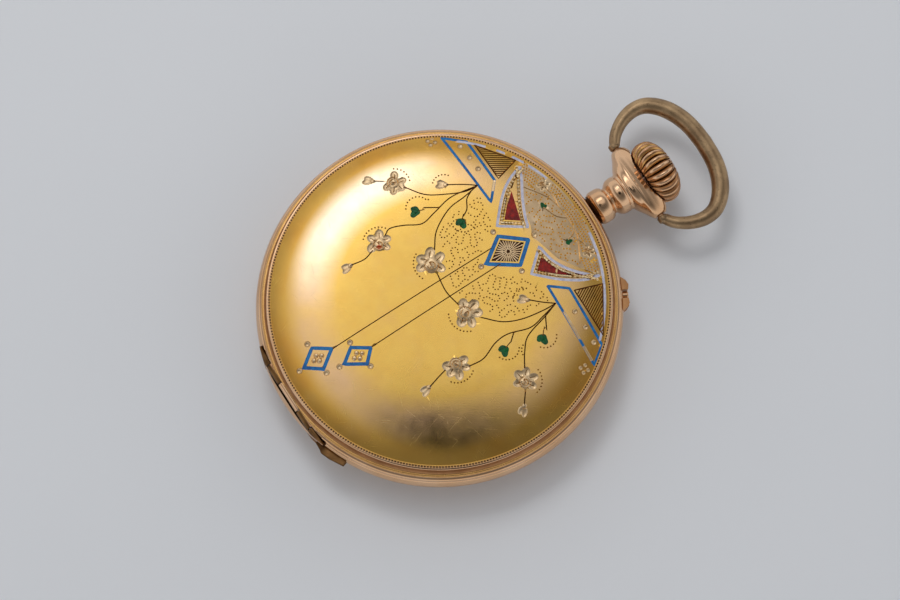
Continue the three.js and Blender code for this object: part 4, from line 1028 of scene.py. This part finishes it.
    # stems
    stems = (
        [(-7.2, 8.9), (-8.0, 7.8), (-8.8, 6.5)],
        [(-7.2, 8.9), (-7.3, 7.6), (-8.05, 5.9), (-9.1, 4.2), (-10.8, 2.95)],
        [(-12.4, 1.6), (-12.9, 0.9)],
        [(-7.2, 8.9), (-7.55, 6.15), (-7.1, 4.0), (-6.8, 2.4), (-7.6, 0.85), (-8.05, -0.4), (-7.75, -1.1)],
        [(-7.1, -2.95), (-6.8, -4.0), (-7.0, -5.4)],
        [(-7.2, 8.9), (-6.9, 7.2), (-6.65, 5.3), (-5.5, 3.2), (-4.0, 2.0)],
        [(-1.85, 0.95), (0.0, 0.72), (1.7, 1.0)],
        [(6.45, 8.8), (5.7, 7.8), (4.85, 6.85)],
        [(6.45, 8.8), (6.4, 7.4), (6.05, 5.3), (5.3, 3.6), (3.9, 2.15)],
        [(6.45, 8.8), (6.85, 7.2), (7.15, 5.5), (6.55, 3.4), (6.65, 1.9), (7.3, 0.2), (7.2, -1.35)],
        [(6.3, -3.4), (6.55, -4.4), (6.85, -5.4)],
        [(6.45, 8.8), (7.0, 7.2), (7.7, 4.9), (8.8, 3.8), (10.1, 2.95)],
        [(12.0, 1.8), (12.9, 1.1)],
        [(-8.05, 3.4), (-7.35, 4.5)],
        [(-5.35, 6.15), (-5.75, 6.75), (-6.6, 7.3), (-7.0, 8.0)],
        [(7.35, 3.2), (6.75, 3.9)],
        [(8.1, 6.7), (7.0, 7.3)],
    )
    for stem in stems:
        art.groove(smooth_path(stem, 8), 0.115, 0.09, ENGRAVED, step=0.3)
    for stem in (
        [(-4.76, 12.54), (-2.9, 13.85), (-1.46, 14.3), (0.0, 14.42), (1.16, 14.35), (2.31, 14.05),
         (4.3, 12.98)],
        [(-1.46, 14.3), (-2.6, 14.45), (-3.5, 14.3)],
        [(0.0, 14.42), (-0.7, 13.6), (-1.6, 13.2), (-2.05, 13.0)],
        [(1.16, 14.35), (1.6, 13.9), (1.8, 13.3)],
        [(2.31, 14.05), (2.8, 14.3), (3.3, 14.3)],
    ):
        art.groove(smooth_path(stem, 8), 0.15, 0.1, PETAL, step=0.3)

    # arcs of punch marks near the flowers and leaves
    for x, y, radius, start, end in (
        (-8.3, 2.9, 1.15, 1.9, 4.2), (-5.0, 5.9, 1.2, -1.8, 0.6), (7.6, 2.6, 1.15, -1.2, 1.0),
        (8.5, 6.2, 1.15, -0.9, 1.1), (-7.4, -2.0, 1.55, 2.2, 3.9), (-3.05, 1.05, 1.7, 3.6, 5.2),
        (2.85, 1.25, 1.75, 4.2, 5.9), (6.55, -2.3, 1.6, -0.9, 0.7), (11.1, 2.4, 1.55, 0.2, 1.7),
        (-11.65, 2.35, 1.5, 1.2, 2.6), (-8.9, 6.2, 1.1, 2.2, 3.9), (4.6, 6.5, 1.1, 2.4, 3.9),
        (9.0, 4.4, 0.9, 3.6, 5.0), (-9.3, 4.6, 0.9, 4.4, 5.8),
    ):
        dots_round(art, x, y, radius, start, end)

    # close wavy rows of dots along the rim of the matt segment
    for row in range(6):
        for angle in np.arange(66.0, 116.0, 1.05):
            wave = 0.07 * math.sin(math.radians(angle * 33))
            px, py = polar(CENTRE, 13.98 + 0.29 * row + wave, math.radians(angle + 0.5 * (row % 2)))
            if art.clear_of(px, py, 0.05) and (row > 1 or abs(angle - 91) > 9):
                art.pit(px, py, 0.105, SPARK, sides=5)

    # scrolls of fine dots between the sprays, and in the matt segment
    ground = np.array([
        (-6.3, 8.5), (-5.9, 5.2), (-5.2, 2.8), (-3.2, 2.7), (-1.6, 1.9), (0.0, 1.5), (1.5, 1.9), (3.2, 2.9),
        (4.9, 3.6), (5.7, 6.0), (5.9, 8.5), (3.4, 8.0), (2.0, 6.6), (0.0, 4.5), (-2.2, 6.4), (-3.3, 8.0),
    ])
    upper = np.array(arc + [(-4.9, 12.6), (-3.2, 11.6), (-1.15, 11.2), (0.6, 11.0), (2.9, 11.6), (4.6, 12.8)])
    for region, walks, size, material in ((ground, 5000, 0.085, PUNCHED), (upper, 2600, 0.1, SPARK)):
        worm_ground(art, region, walks, size, material)
    return art


# ---------- the case ----------
def hinge_gap(z):
    """The room that a hinge's barrels turn in."""
    # its cut faces take the dark painted shade
    return rod_x("gap", HINGE_Y, z, 0.56, (-HINGE_HALF - 0.05, HINGE_HALF + 0.05), CREVICE_SHADE, 32, 0.01)


def rim_clearance(z):
    """The room outside the hinge axis, where a cover's rim would swing into the band."""
    # its cut faces take the dark painted shade
    return block("clearance", (-HINGE_HALF - 0.05, HINGE_HALF + 0.05), (-18, HINGE_Y), z, CREVICE_SHADE)


def knuckle(name, body, z, x, web_y, web_z, materials, inset=0.0, outside=None):
    """A hinge barrel and the web that joins it to its body, with what is past outside cut off."""
    barrel = rod_x(name, HINGE_Y, z, BARREL_R, x, materials[0])
    web = block("web", (x[0] + inset, x[1] - inset), (HINGE_Y, web_y), web_z, materials[1])
    carved(barrel, web, operation="UNION")
    if outside:
        carved(barrel, outside, keep=True)
    given(flat_faced(barrel), body, "rose_gold")


UNDERSIDE = [(DOME_R, 6.5), (15.2, 6.66), (14.4, 6.98), (11.5, 7.38), (7.0, 7.68), (0.0, 7.83)]
plate = engrave_cover().build("back_cover_plate", UNDERSIDE)
given(plate, "back_cover", "satin_gold", "back_cover")

BEADS = 360
BEAD_ROW_R = 16.08


def beaded(radius, height, angle):
    """Small beads stand in a row in the groove round the dome."""
    if 15.93 < radius < 16.22:
        share = 1 - min(1.0, abs(radius - BEAD_ROW_R) / 0.14)
        return radius, height + 0.06 * share * (0.5 + 0.5 * math.cos(BEADS * angle)) - 0.02
    return radius, height


dome_edge = dome(DOME_R)
rim_profile = [
    (DOME_R - 0.12, 6.45), (DOME_R - 0.12, dome_edge - 0.12), (DOME_R + 0.01, dome_edge - 0.05),
    (15.95, 6.7), (15.99, 6.64), (16.03, 6.62), (16.08, 6.62), (16.13, 6.61), (16.18, 6.58), (16.22, 6.54),
    (16.27, 6.56), (16.33, 6.50), (16.36, 6.40), (16.34, 6.30), (16.36, 6.2),
    (16.40, 6.02), (16.46, 5.87), (16.54, 5.76), (16.6, 5.71),
    (16.68, 5.74), (16.78, 5.71), (16.84, 5.64), (16.86, 5.55), (16.84, 5.47),
    (16.9, 5.45), (17.0, 5.43), (17.1, 5.36), (17.18, 5.24), (17.2, 5.08), (17.17, 4.96), (17.1, 4.93),
    (16.3, 4.93), (16.3, 5.53), (15.6, 6.42),
]
# materials along the rim's profile; the brown band in the cove is painted shade
rim_bands = [4] * 3 + [2] * 4 + [0] * 7 + [1] * 4 + [2] * 5 + [0] * 8 + [3] * 3
rim = lathe("back_cover_rim", rim_profile, [ROSE, BROWN, YELLOW, ROSE_DARK, SATIN, CREVICE_SHADE], 4 * BEADS,
            closed=True, bands=rim_bands, shape=beaded)
# painted shade: the gaps between the beads take the dark crevice colour
for polygon in rim.data.polygons:      # dark gaps between the beads
    step, place = divmod(polygon.index, 4 * BEADS)
    if 4 <= step <= 6 and place % 4 in (1, 2):
        polygon.material_index = 5
thumb_profile = [(16.93, 4.5), (18.2, 4.5), (18.2, 5.33), (17.04, 5.33)]
thumb = lathe("thumb_cut", thumb_profile, ROSE_DARK, 240, closed=True)
sector = prism("sector", [(2.9, 4.6), (7.2, 23.0), (20.5, 10.2), (4.0, 2.3)], (4.0, 6.0), ROSE_DARK)
carved(thumb, sector, operation="INTERSECT")
carved(rim, hinge_gap(BACK_HINGE_Z), rim_clearance((4.7, 5.8)), thumb)
given(rim, "back_cover", "rose_gold")

for i, side in enumerate((1, -1)):
    x = sorted((side * 1.62, side * 3.58))
    knuckle(f"back_cover_knuckle_{i + 1}", "back_cover", BACK_HINGE_Z, x, -15.95, (4.95, 5.42),
            (HINGE, ROSE_DARK))

# middle band: a rounded ridge between two seams, with its snap rim and seats inside
band_profile = rounded([
    (17.15, 3.12), (17.38, 3.5), (17.49, 4.0), (17.38, 4.5), (17.15, 4.88),
    (16.2, 4.88), (16.2, 5.45), (15.8, 5.45), (15.8, 4.95), (14.12, 4.95), (14.12, 4.27), (14.47, 4.27),
    (14.47, 3.12), (15.05, 3.12), (15.05, 2.6), (15.4, 2.6), (15.4, 3.12),
], 0.16, 3, closed=True)
band = lathe("middle_band", band_profile, [ROSE], 360, closed=True)

# the wedge at one end of the hinge, in the hinge's dark painted shade
wedge = prism("wedge", [
    (HINGE_HALF - 0.6, -15.6), (HINGE_HALF - 0.6, -16.8), (HINGE_HALF + 0.3, -16.85),
    (HINGE_HALF + 1.1, -16.54), (HINGE_HALF + 2.3, -15.85), (HINGE_HALF + 2.2, -15.5),
], (3.5, 4.2), HINGE)
carved(wedge, lathe("room", block_profile(0, 15.85, 1, 8), ROSE, 180))
carved(band, edged(wedge, 0.16, 3, 30), operation="UNION")
stem_hole = lathe("hole", block_profile(0, 0.68, 13, 18.5), ROSE, 48, about="Y")
middle_gap = block("gap", (-1.74, 1.74), (-18, -15), (4.9, 7), ROSE)
carved(band, hinge_gap(BACK_HINGE_Z), hinge_gap(BEZEL_HINGE_Z), stem_hole, middle_gap)
given(flat_faced(band), "case", "rose_gold", "case_band")

case_outside = lathe("case_outside", block_profile(17.5, 19, 1, 7), [ROSE_DARK], 360, closed=True)
for name, z, start, web_z in (
    ("back", BACK_HINGE_Z, 3.66, (4.35, 4.88)), ("bezel", BEZEL_HINGE_Z, 2.2, (3.12, 3.68)),
):
    for i, x in enumerate(((start, HINGE_HALF), (-HINGE_HALF, -start))):
        knuckle(f"band_{name}_knuckle_{i + 1}", "case", z, x, -15.4, web_z, (HINGE, ROSE_DARK),
                outside=case_outside)
bpy.data.objects.remove(case_outside)
for name, z in (("back", BACK_HINGE_Z), ("bezel", BEZEL_HINGE_Z)):
    pin = rod_x(f"{name}_pin", HINGE_Y, z, 0.155, (-PIN_HALF, PIN_HALF), STEEL, 24, 0.03)
    given(pin, "case", "steel", f"{name}_hinge_pin")

# a fine reeded ring shows in the seam under the cover
REEDS = 420
reed_profile = rounded([(16.7, 4.84), (17.08, 4.84), (17.12, 4.9), (17.08, 4.925), (16.7, 4.925)], 0.02, 2,
                       closed=True)
reeded = lathe("seam_reeding", reed_profile, [ROSE_DARK], 3 * REEDS, closed=True,
               shape=lambda r, h, a: (r + (0.05 * math.cos(REEDS * a) if r > 17 else 0), h))
carved(reeded, hinge_gap(BACK_HINGE_Z))
given(reeded, "case", "rose_gold")

cuvette_profile = rounded([
    (0, 7.34), (9, 7.20), (13.2, 6.90), (14.8, 6.47), (15.52, 5.4), (15.52, 5.02), (15.27, 5.02),
    (15.27, 5.38), (14.5, 6.36), (13.1, 6.69), (9, 6.99), (0, 7.12),
], 0.5, 5)


def turned_rings(radius, height, angle):
    """Two shallow rings are turned into the dust cover, one near its edge and one inside it."""
    if height > 6.55 and radius > 1:
        for ring in (12.4, 10.9):
            height -= 0.03 * math.exp(-((radius - ring) / 0.14) ** 2)
    return radius, height


dense = [cuvette_profile[0]]
for a, b in zip(cuvette_profile, cuvette_profile[1:]):
    steps = max(1, int(math.dist(a, b) / 0.12))
    dense += [tuple(p + (q - p) * k / steps for p, q in zip(a, b)) for k in range(1, steps + 1)]
dust_cover = lathe("dust_cover", dense, [ROSE], 240, shape=turned_rings)
given(dust_cover, "cuvette", "rose_gold", "cuvette")
knuckle("dust_cover_knuckle", "cuvette", BACK_HINGE_Z, (-1.53, 1.53), -15.4, (5.02, 5.22), (ROSE, ROSE), 0.03)

bezel_profile = rounded([
    (17.17, 3.07), (17.08, 2.6), (16.9, 2.35), (16.75, 2.25), (16.4, 1.75), (15.9, 1.3), (15.2, 0.95),
    (14.3, 0.65), (13.6, 0.5), (13.2, 0.6), (13.15, 0.9), (13.7, 1.16), (13.7, 1.75), (15.54, 2.5),
    (15.54, 3.07),
], 0.2, 4, closed=True)
bezel = lathe("bezel_ring", bezel_profile, [ROSE], 360, closed=True)
carved(bezel, hinge_gap(BEZEL_HINGE_Z), rim_clearance((1.8, 3.3)))
given(flat_faced(bezel), "bezel", "rose_gold", "bezel")
knuckle("bezel_knuckle", "bezel", BEZEL_HINGE_Z, (-2.12, 2.12), -15.6, (2.52, 3.05), (ROSE, ROSE), 0.02)

outer = smooth_path([(13.6, 1.36), (12.6, 0.66), (11.2, 0.27), (10.1, 0.08), (9.0, 0.0)], 5)
inner = smooth_path([(9.0, 0.85), (10.6, 0.95), (12.0, 1.15), (13.0, 1.45), (13.6, 1.6)], 5)
glass = lathe("crystal_glass", [(0, 0.85)] + inner + outer + [(0, 0.0)], [GLASS], 240)
given(glass, "bezel", "crystal", "crystal")

# ---------- pendant, crown, bow and setting pin ----------
NECK = smooth_path([
    (1.05, 17.2), (1.42, 17.5), (1.56, 17.62), (1.7, 17.84), (1.74, 18.2), (1.72, 18.66), (1.6, 18.98),
    (1.4, 19.16), (1.34, 19.3), (1.42, 19.44), (1.66, 19.66), (1.84, 19.96), (1.9, 20.4), (1.86, 20.78),
    (1.98, 21.0), (2.3, 21.16), (3.0, 21.6), (3.7, 21.98), (4.02, 22.4), (4.02, 22.9), (3.75, 23.38),
    (3.25, 23.68), (2.9, 23.74),
], 4)
FLATTENING = ((20.6, 1.0), (21.0, 0.84), (21.55, 0.62), (22.15, 0.45), (22.7, 0.39), (23.75, 0.34))


def depth_share(y):
    """How far the pendant's head is flattened across the watch, at a height."""
    for (low, first), (high, second) in zip(FLATTENING, FLATTENING[1:]):
        if y < high:
            return first + (second - first) * max(0.0, (y - low) / (high - low))
    return FLATTENING[-1][1]


head_line = [(0, 15.72), (0.6, 15.72), (0.6, 17.2)] + NECK + [(0, 23.74)]
# painted shade: the first nine steps, the shank and the collar by the case, take the dark crevice colour
head = lathe("pendant_body", head_line, [ROSE, CREVICE_SHADE], 96, about="Y",
             bands=[1] * 9 + [0] * (len(head_line) - 10))
HEAD_HALF = 3.85
for vertex in head.data.vertices:
    across = vertex.co.z - STEM_Z * MM
    vertex.co.z = STEM_Z * MM + across * depth_share(vertex.co.y / MM)
    vertex.co.x = max(-HEAD_HALF * MM, min(HEAD_HALF * MM, vertex.co.x))
cup_profile = [(0, 22.8), (1.2, 22.82), (2.2, 23.05), (3.0, 23.55), (3.6, 24.6), (0, 24.6)]
cup = lathe("cup", cup_profile, ROSE, 96, about="Y")
bore = lathe("bore", block_profile(0, 0.42, 15, 24), ROSE, 32, about="Y")
eyes = [rod_x("eye", BOW_PIVOT_Y, STEM_Z, 0.36, x, ROSE, 24, 0.01) for x in ((3.2, 5), (-5, -3.2))]
carved(head, cup, bore, *eyes)
given(creased(head, 38), "case", "rose_gold", "pendant")

RIBS = 24
# painted light and shade across each rib: the dark crevice colour in the valleys, yellow on one flank only,
# brown and darker rose up both flanks, and the lighter polished rose on the top
CROWN_BANDS = (2, 4, 4, 1, 0, 3, 3, 3, 0, 1, 1, 2)     # the materials across one rib
crown_line = smooth_path([
    (0.5, 23.12), (1.55, 23.13), (2.3, 23.3), (2.85, 23.7), (3.12, 24.2), (3.19, 24.65), (3.1, 25.15),
    (2.8, 25.62), (2.3, 25.98), (1.8, 26.17), (1.3, 26.2), (0.9, 26.24), (0.5, 26.29),
], 4)


def ribbed(radius, height, angle):
    """Rounded ribs round the crown, which fade out at both ends."""
    fade = max(0.0, min(1.0, (radius - 1.55) / 0.9))
    rib = abs(math.sin(angle * RIBS / 2))
    return radius - 0.42 * fade * (1 - rib ** 0.8), height


crown = lathe("crown_ribbed", [(0, 23.12)] + crown_line + [(0, 26.29)],
              [ROSE_DARK, BROWN, CREVICE_SHADE, ROSE, YELLOW], RIBS * len(CROWN_BANDS), about="Y", shape=ribbed)
for polygon in crown.data.polygons:
    middle = polygon.center / MM
    if math.hypot(middle.x, middle.z - STEM_Z) > 1.9:
        polygon.material_index = CROWN_BANDS[polygon.index % len(CROWN_BANDS)]
stem_room = lathe("room", block_profile(0, 0.38, 22, 25.2), ROSE, 32, about="Y")
given(creased(carved(crown, stem_room), 60), "crown", "rose_gold", "crown")
stem = lathe("stem_rod", rounded(block_profile(0, 0.34, 8.25, 25.1), 0.08), STEEL, 32, about="Y")
given(stem, "crown", "steel", "winding_stem")

bow_half = [(4.35, 22.78), (5.12, 23.38), (5.8, 24.3), (6.22, 25.3), (6.37, 26.28), (6.18, 27.35),
            (5.52, 28.3), (4.5, 29.12), (3.2, 29.72), (1.8, 30.05), (0, 30.18)]
right_half = smooth_path(bow_half, 7)
bow_path = right_half + [(-x, y) for x, y in reversed(right_half[:-1])]
bow_foot, bow_top = bow_half[0][1], bow_half[-1][1]
bow_rises = ((y - bow_foot) / (bow_top - bow_foot) for _, y in bow_path)
bow_radii = [0.52 + 0.34 * min(1.0, rise * 1.15) ** 0.8 for rise in bow_rises]
ring = swept("bow_ring", bow_path, bow_radii, BOW_BRASS, 36)
given(ring, "bow", "antique_brass", "bow")
for i, side in enumerate((1, -1)):
    for name, radius, x, material, segments, edge, slot in (
        ("bow_eye", 0.52, (3.93, 4.6), BOW_BRASS, 40, 0.24, "antique_brass"),
        ("bow_collar", 0.29, (3.3, 4.2), ROSE, 32, 0.05, "rose_gold"),
    ):
        x = sorted(side * value for value in x)
        piece = rod_x(f"{name}_{i + 1}", BOW_PIVOT_Y, STEM_Z, radius, x, material, segments, edge)
        given(piece, "bow", slot)


def on_pin_line(piece, drop=0.0):
    """Turns a piece from the pendant's line to the setting pin's, after a drop from the stem's height."""
    turn = Matrix.Rotation(-SETTING_ANGLE, 4, "Z")
    piece.data.transform(turn @ Matrix.Translation((0, 0, -drop * MM)))
    return piece


PIN_DROP = STEM_Z - SETTING_Z
pin = lathe("setting_button", rounded(block_profile(0, 0.34, 13.7, 17.98), 0.12), [ROSE], 32, about="Y")
given(on_pin_line(pin, PIN_DROP), "setting_pin", "rose_gold", "setting_pin")
# the setting guards are in the brown gold, painted as shade
GUARD = ((0.46, 17.1), (0.46, 17.92), (0.9, 17.98), (1.3, 17.74), (1.62, 17.32), (1.6, 17.1))
for i, side in enumerate((1, -1)):
    outline = [(side * x, y) for x, y in GUARD][::side]
    guard = on_pin_line(prism(f"setting_guard_{i + 1}", outline, (3.36, 4.4), BROWN))
    room = lathe("room", block_profile(0, 17.3, 1, 7), ROSE, 240)
    shaft = lathe("shaft", block_profile(0, 0.4, 16, 19), ROSE, 24, about="Y")
    carved(guard, room, on_pin_line(shaft, PIN_DROP))
    given(edged(guard, 0.2, 4, 35), "case", "rose_gold", *(["setting_pin_guard"] if i == 0 else []))

# ---------- dial and hands ----------
DIAL_FRONT = 2.3
dial_profile = rounded(block_profile(0.98, 13.88, DIAL_FRONT, 2.68), 0.1, 3, closed=True)
face = lathe("dial_face", dial_profile, [DIAL_WHITE], 240, closed=True)
well = lathe("well", [(0, 2.2), (3.5, 2.2), (3.3, 2.38), (0, 2.38)], DIAL_WHITE, 120, centre=SECONDS_AT)
bore = lathe("bore", block_profile(0, 0.26, 2, 3), DIAL_WHITE, 24, centre=SECONDS_AT)
carved(face, well, bore)
given(flat_faced(face), "case", "enamel_white", "dial")


def printed(name, outlines, z):
    """Flat marks on the dial, as one thin piece."""
    points, faces = [], []
    for outline in outlines:
        start, count = len(points), len(outline)
        points += [(x, y, z) for x, y in outline] + [(x, y, z - 0.03) for x, y in outline]
        faces.append(tuple(range(start, start + count)))
        faces.append(tuple(range(start + 2 * count - 1, start + count - 1, -1)))
        for i in range(count):
            n = (i + 1) % count
            faces.append((start + i, start + count + i, start + count + n, start + n))
    return given(outward(mesh_object(name, points, faces, DIAL_BLACK, smooth=False)), "case", "enamel_white")


def dial_point(centre, radius, clockwise):
    """A point on the dial by its clock angle in degrees. Seen from the back, the clock runs backwards."""
    angle = math.radians(90 + clockwise)
    return (centre[0] + radius * math.cos(angle), centre[1] + radius * math.sin(angle))


def tick(centre, clockwise, inner, outer, width):
    turn = math.degrees(width / 2 / outer)
    return [dial_point(centre, inner, clockwise - turn), dial_point(centre, outer, clockwise - turn),
            dial_point(centre, outer, clockwise + turn), dial_point(centre, inner, clockwise + turn)]


for name, centre, z, outer, (long, broad), (short, fine) in (
    ("minute_track", CENTRE, DIAL_FRONT + 0.005, 13.1, (12.3, 0.22), (12.3, 0.08)),
    ("seconds_track", SECONDS_AT, 2.385, 3.1, (2.6, 0.09), (2.8, 0.05)),
):
    printed(name, [tick(centre, 6 * k, short if k % 5 else long, outer, fine if k % 5 else broad)
                   for k in range(60)], z)
for number in range(1, 13):
    if number == 6:
        continue
    letters = bpy.data.curves.new(f"numeral_{number}", "FONT")
    letters.body = str(number)
    letters.size = 2.9 * MM
    letters.align_x, letters.align_y = "CENTER", "CENTER"
    letters.extrude = 0.015 * MM
    letters.resolution_u = 6
    numeral = bpy.data.objects.new(f"numeral_{number}", letters)
    bpy.context.scene.collection.objects.link(numeral)
    x, y = dial_point(CENTRE, 10.6, 30 * number)
    place = Matrix.Translation((x * MM, y * MM, (DIAL_FRONT - 0.01) * MM))
    numeral.matrix_world = place @ Matrix.Rotation(math.pi, 4, "Y")
    bpy.context.view_layer.update()
    mesh = bpy.data.meshes.new_from_object(numeral.evaluated_get(bpy.context.evaluated_depsgraph_get()))
    mesh.transform(numeral.matrix_world)
    bpy.data.objects.remove(numeral)
    mesh.materials.clear()
    mesh.materials.append(DIAL_BLACK)
    solid_numeral = bpy.data.objects.new(f"dial_numeral_{number}", mesh)
    bpy.context.scene.collection.objects.link(solid_numeral)
    given(solid_numeral, "case", "enamel_white")


def hand_piece(name, node, body, centre, clockwise, outline, boss, bore):
    """A hand cut from sheet: its outline is given along +Y, and mirrored."""
    z = [corner[2] for corner in span(node)]
    right = smooth_path(outline, 5)
    full = [(x, y) for x, y in right] + [(-x, y) for x, y in reversed(right) if x > 1e-6]
    blade = prism(name, full, z, BLUED)
    hub_profile = rounded(block_profile(bore, boss, *z), 0.02, 2, closed=True)
    carved(blade, lathe("hub", hub_profile, [BLUED], 48, closed=True), operation="UNION")
    carved(blade, lathe("opening", block_profile(0, bore, 0, 4), BLUED, 48))
    place = Matrix.Translation((centre[0] * MM, centre[1] * MM, 0))
    blade.data.transform(place @ Matrix.Rotation(math.radians(clockwise), 4, "Z"))
    given(edged(blade, 0.025, 2, 50), body, "blued_steel", node)


def leaf_outline(length, wide, stalk):
    shares = ((stalk * 0.8, 0.2), (stalk * 0.9, 0.34), (wide * 0.5, 0.52), (wide * 0.42, 0.66),
              (stalk * 0.7, 0.8), (0.07, 0.99), (0.0, 1.0))
    return [(stalk, 0.3)] + [(x, length * share) for x, share in shares]


hour_leaf, minute_leaf = leaf_outline(6.95, 1.5, 0.34), leaf_outline(11.1, 1.0, 0.26)
needle = [(0.12, -0.85), (0.1, 0.0), (0.06, 1.2), (0.03, 2.45)]
hand_piece("hour_hand_blade", "hour_hand", "hour", CENTRE, 305.0, hour_leaf, 1.24, 0.88)
hand_piece("minute_hand_blade", "minute_hand", "minute", CENTRE, 60.0, minute_leaf, 0.94, 0.55)
hand_piece("seconds_hand_blade", "seconds_hand", "fourth", SECONDS_AT, 210.0, needle, 0.33, 0.16)

# ---------- the movement: the CAD solids, with finished surfaces and softened edges ----------
BRIDGES = ("barrel_bridge", "train_bridge", "balance_cock", "pallet_bridge")
FINISH = {"main_plate": PLATE_GILT, **{node: NICKEL for node in BRIDGES}}
BY_SLOT = {"gilt_brass": GILT, "steel": STEEL, "blued_steel": BLUED, "ruby": RUBY, "nickel": NICKEL,
           "rose_gold": ROSE, "enamel_white": DIAL_WHITE, "antique_brass": BOW_BRASS, "satin_gold": SATIN,
           "crystal": GLASS}
SLOT_OF = {part["node"]: part["material_slot"] for part in frame["record"]["subparts"]}
for node, piece in frame["nodes"].items():
    material = FINISH.get(node) or BY_SLOT[SLOT_OF[node]]
    if piece.material_slots:
        for holder in piece.material_slots:
            holder.material = material
    else:
        piece.data.materials.append(material)
    bevel = piece.modifiers.new("edges", "BEVEL")
    bevel.width = (0.015 if any(kind in node for kind in ("pinion", "wheel", "arbor")) else 0.03) * MM
    bevel.segments = 1
    bevel.limit_method = "ANGLE"
    bevel.angle_limit = math.radians(50)

# ---------- floor, lights and camera ----------
FLOOR_HALF = 900
paper = mottled("pale_paper_floor", (232, 235, 239), (226, 229, 233), (0.02, 3),
                (0.5, 3, 0.3, 0.7, 0.75, 0.9), (2.0, 0.05, 0.05))
corners = [(x * FLOOR_HALF, y * FLOOR_HALF, 0) for x, y in ((-1, -1), (1, -1), (1, 1), (-1, 1))]
floor = mesh_object("studio_floor", corners, [(0, 1, 2, 3)], paper)

CAMERA_AZIMUTH = math.radians(57.3)
CAMERA_ELEVATION = math.radians(75.7)
CAMERA_DISTANCE = 285.0
LENS = 120.0
AIM_OFFSET = (0.98, 0.59)   # millimetres to the right of the case axis, and above it, as the camera sees them

right = Vector((math.cos(CAMERA_AZIMUTH), math.sin(CAMERA_AZIMUTH), 0))
back = Vector((math.sin(CAMERA_AZIMUTH) * math.cos(CAMERA_ELEVATION),
               -math.cos(CAMERA_AZIMUTH) * math.cos(CAMERA_ELEVATION), math.sin(CAMERA_ELEVATION)))
above = back.cross(right)
aim = Vector((0, 0, RIDGE_Z)) + right * AIM_OFFSET[0] + above * AIM_OFFSET[1]
camera_data = bpy.data.cameras.new("camera")
camera_data.lens = LENS
camera_data.sensor_width = 36.0
camera_data.clip_start = 0.005
camera = bpy.data.objects.new("camera", camera_data)
bpy.context.scene.collection.objects.link(camera)
camera.rotation_mode = "QUATERNION"
camera.location = (aim + back * CAMERA_DISTANCE) * MM
camera.rotation_quaternion = back.to_track_quat("Z", "Y")
bpy.context.scene.camera = camera

floor_up = Vector((-math.sin(CAMERA_AZIMUTH), math.cos(CAMERA_AZIMUTH), 0))

# a soft key light from above the picture, which lights the floor and is not seen in the metal
KEY_RIGHT, KEY_UP, KEY_HEIGHT, KEY_SIZE, KEY_POWER = -52, 136, 250, 90, 0.13
light = bpy.data.lights.new("key", "AREA")
light.shape = "RECTANGLE"
light.size = light.size_y = KEY_SIZE * MM
light.energy = KEY_POWER
light.color = (1.0, 0.99, 0.98)
lamp = bpy.data.objects.new("key", light)
bpy.context.scene.collection.objects.link(lamp)
lamp.location = (right * KEY_RIGHT + floor_up * KEY_UP + Vector((0, 0, KEY_HEIGHT))) * MM
lamp.rotation_mode = "QUATERNION"
lamp.rotation_quaternion = lamp.location.to_track_quat("Z", "Y")
lamp.visible_glossy = False


def sky():
    """The room's light: pale walls, a brighter ceiling, two windows and darker low sides."""
    world = bpy.data.worlds.new("room")
    world.use_nodes = True
    tree = world.node_tree
    direction = new_node(tree, "TexCoord", {}).outputs["Generated"]

    def leaning(across, up):
        """A direction, by how many degrees it leans right and up in the picture from straight up."""
        lean = right * math.tan(math.radians(across)) + floor_up * math.tan(math.radians(up))
        return tuple((lean + Vector((0, 0, 1))).normalized())

    def patch(lean, wide, narrow, outside, within):
        """A round patch of the sky: its value beyond the wide angle, and its value within the narrow one."""
        towards = new_node(tree, "VectorMath", {0: direction, 1: leaning(*lean)}, operation="DOT_PRODUCT")
        inputs = {"Value": towards.outputs["Value"], "From Min": math.cos(math.radians(wide)),
                  "From Max": math.cos(math.radians(narrow)), "To Min": outside, "To Max": within}
        return new_node(tree, "MapRange", inputs, interpolation_type="SMOOTHSTEP").outputs["Result"]

    def combined(operation, first, *others):
        for other in others:
            first = new_node(tree, "Math", {0: first, 1: other}, operation=operation).outputs["Value"]
        return first

    walls = patch((0, 0), 66, 38, 0.78, 0.26)
    ceiling = patch((-7, 16), 36, 12, 0.0, 0.6)
    windows = combined("ADD", patch((-7, 32), 10.5, 2, 0.0, 1.35), patch((-17, 23), 10.5, 2, 0.0, 1.15))
    photographer = patch((0, -6), 12.5, 5.5, 1.0, 0.0)
    low_side = combined("MULTIPLY", patch((0, -34), 40, 26, 1.0, 0.8), patch((20, -13), 21, 8, 1.0, 0.75))
    room = combined("ADD", walls, ceiling, windows)
    background = tree.nodes["Background"]
    background.inputs["Color"].default_value = (0.985, 0.985, 1.0, 1.0)
    tree.links.new(combined("MULTIPLY", room, photographer, low_side), background.inputs["Strength"])
    bpy.context.scene.world = world


sky()
bpy.context.scene.view_settings.view_transform = "Standard"
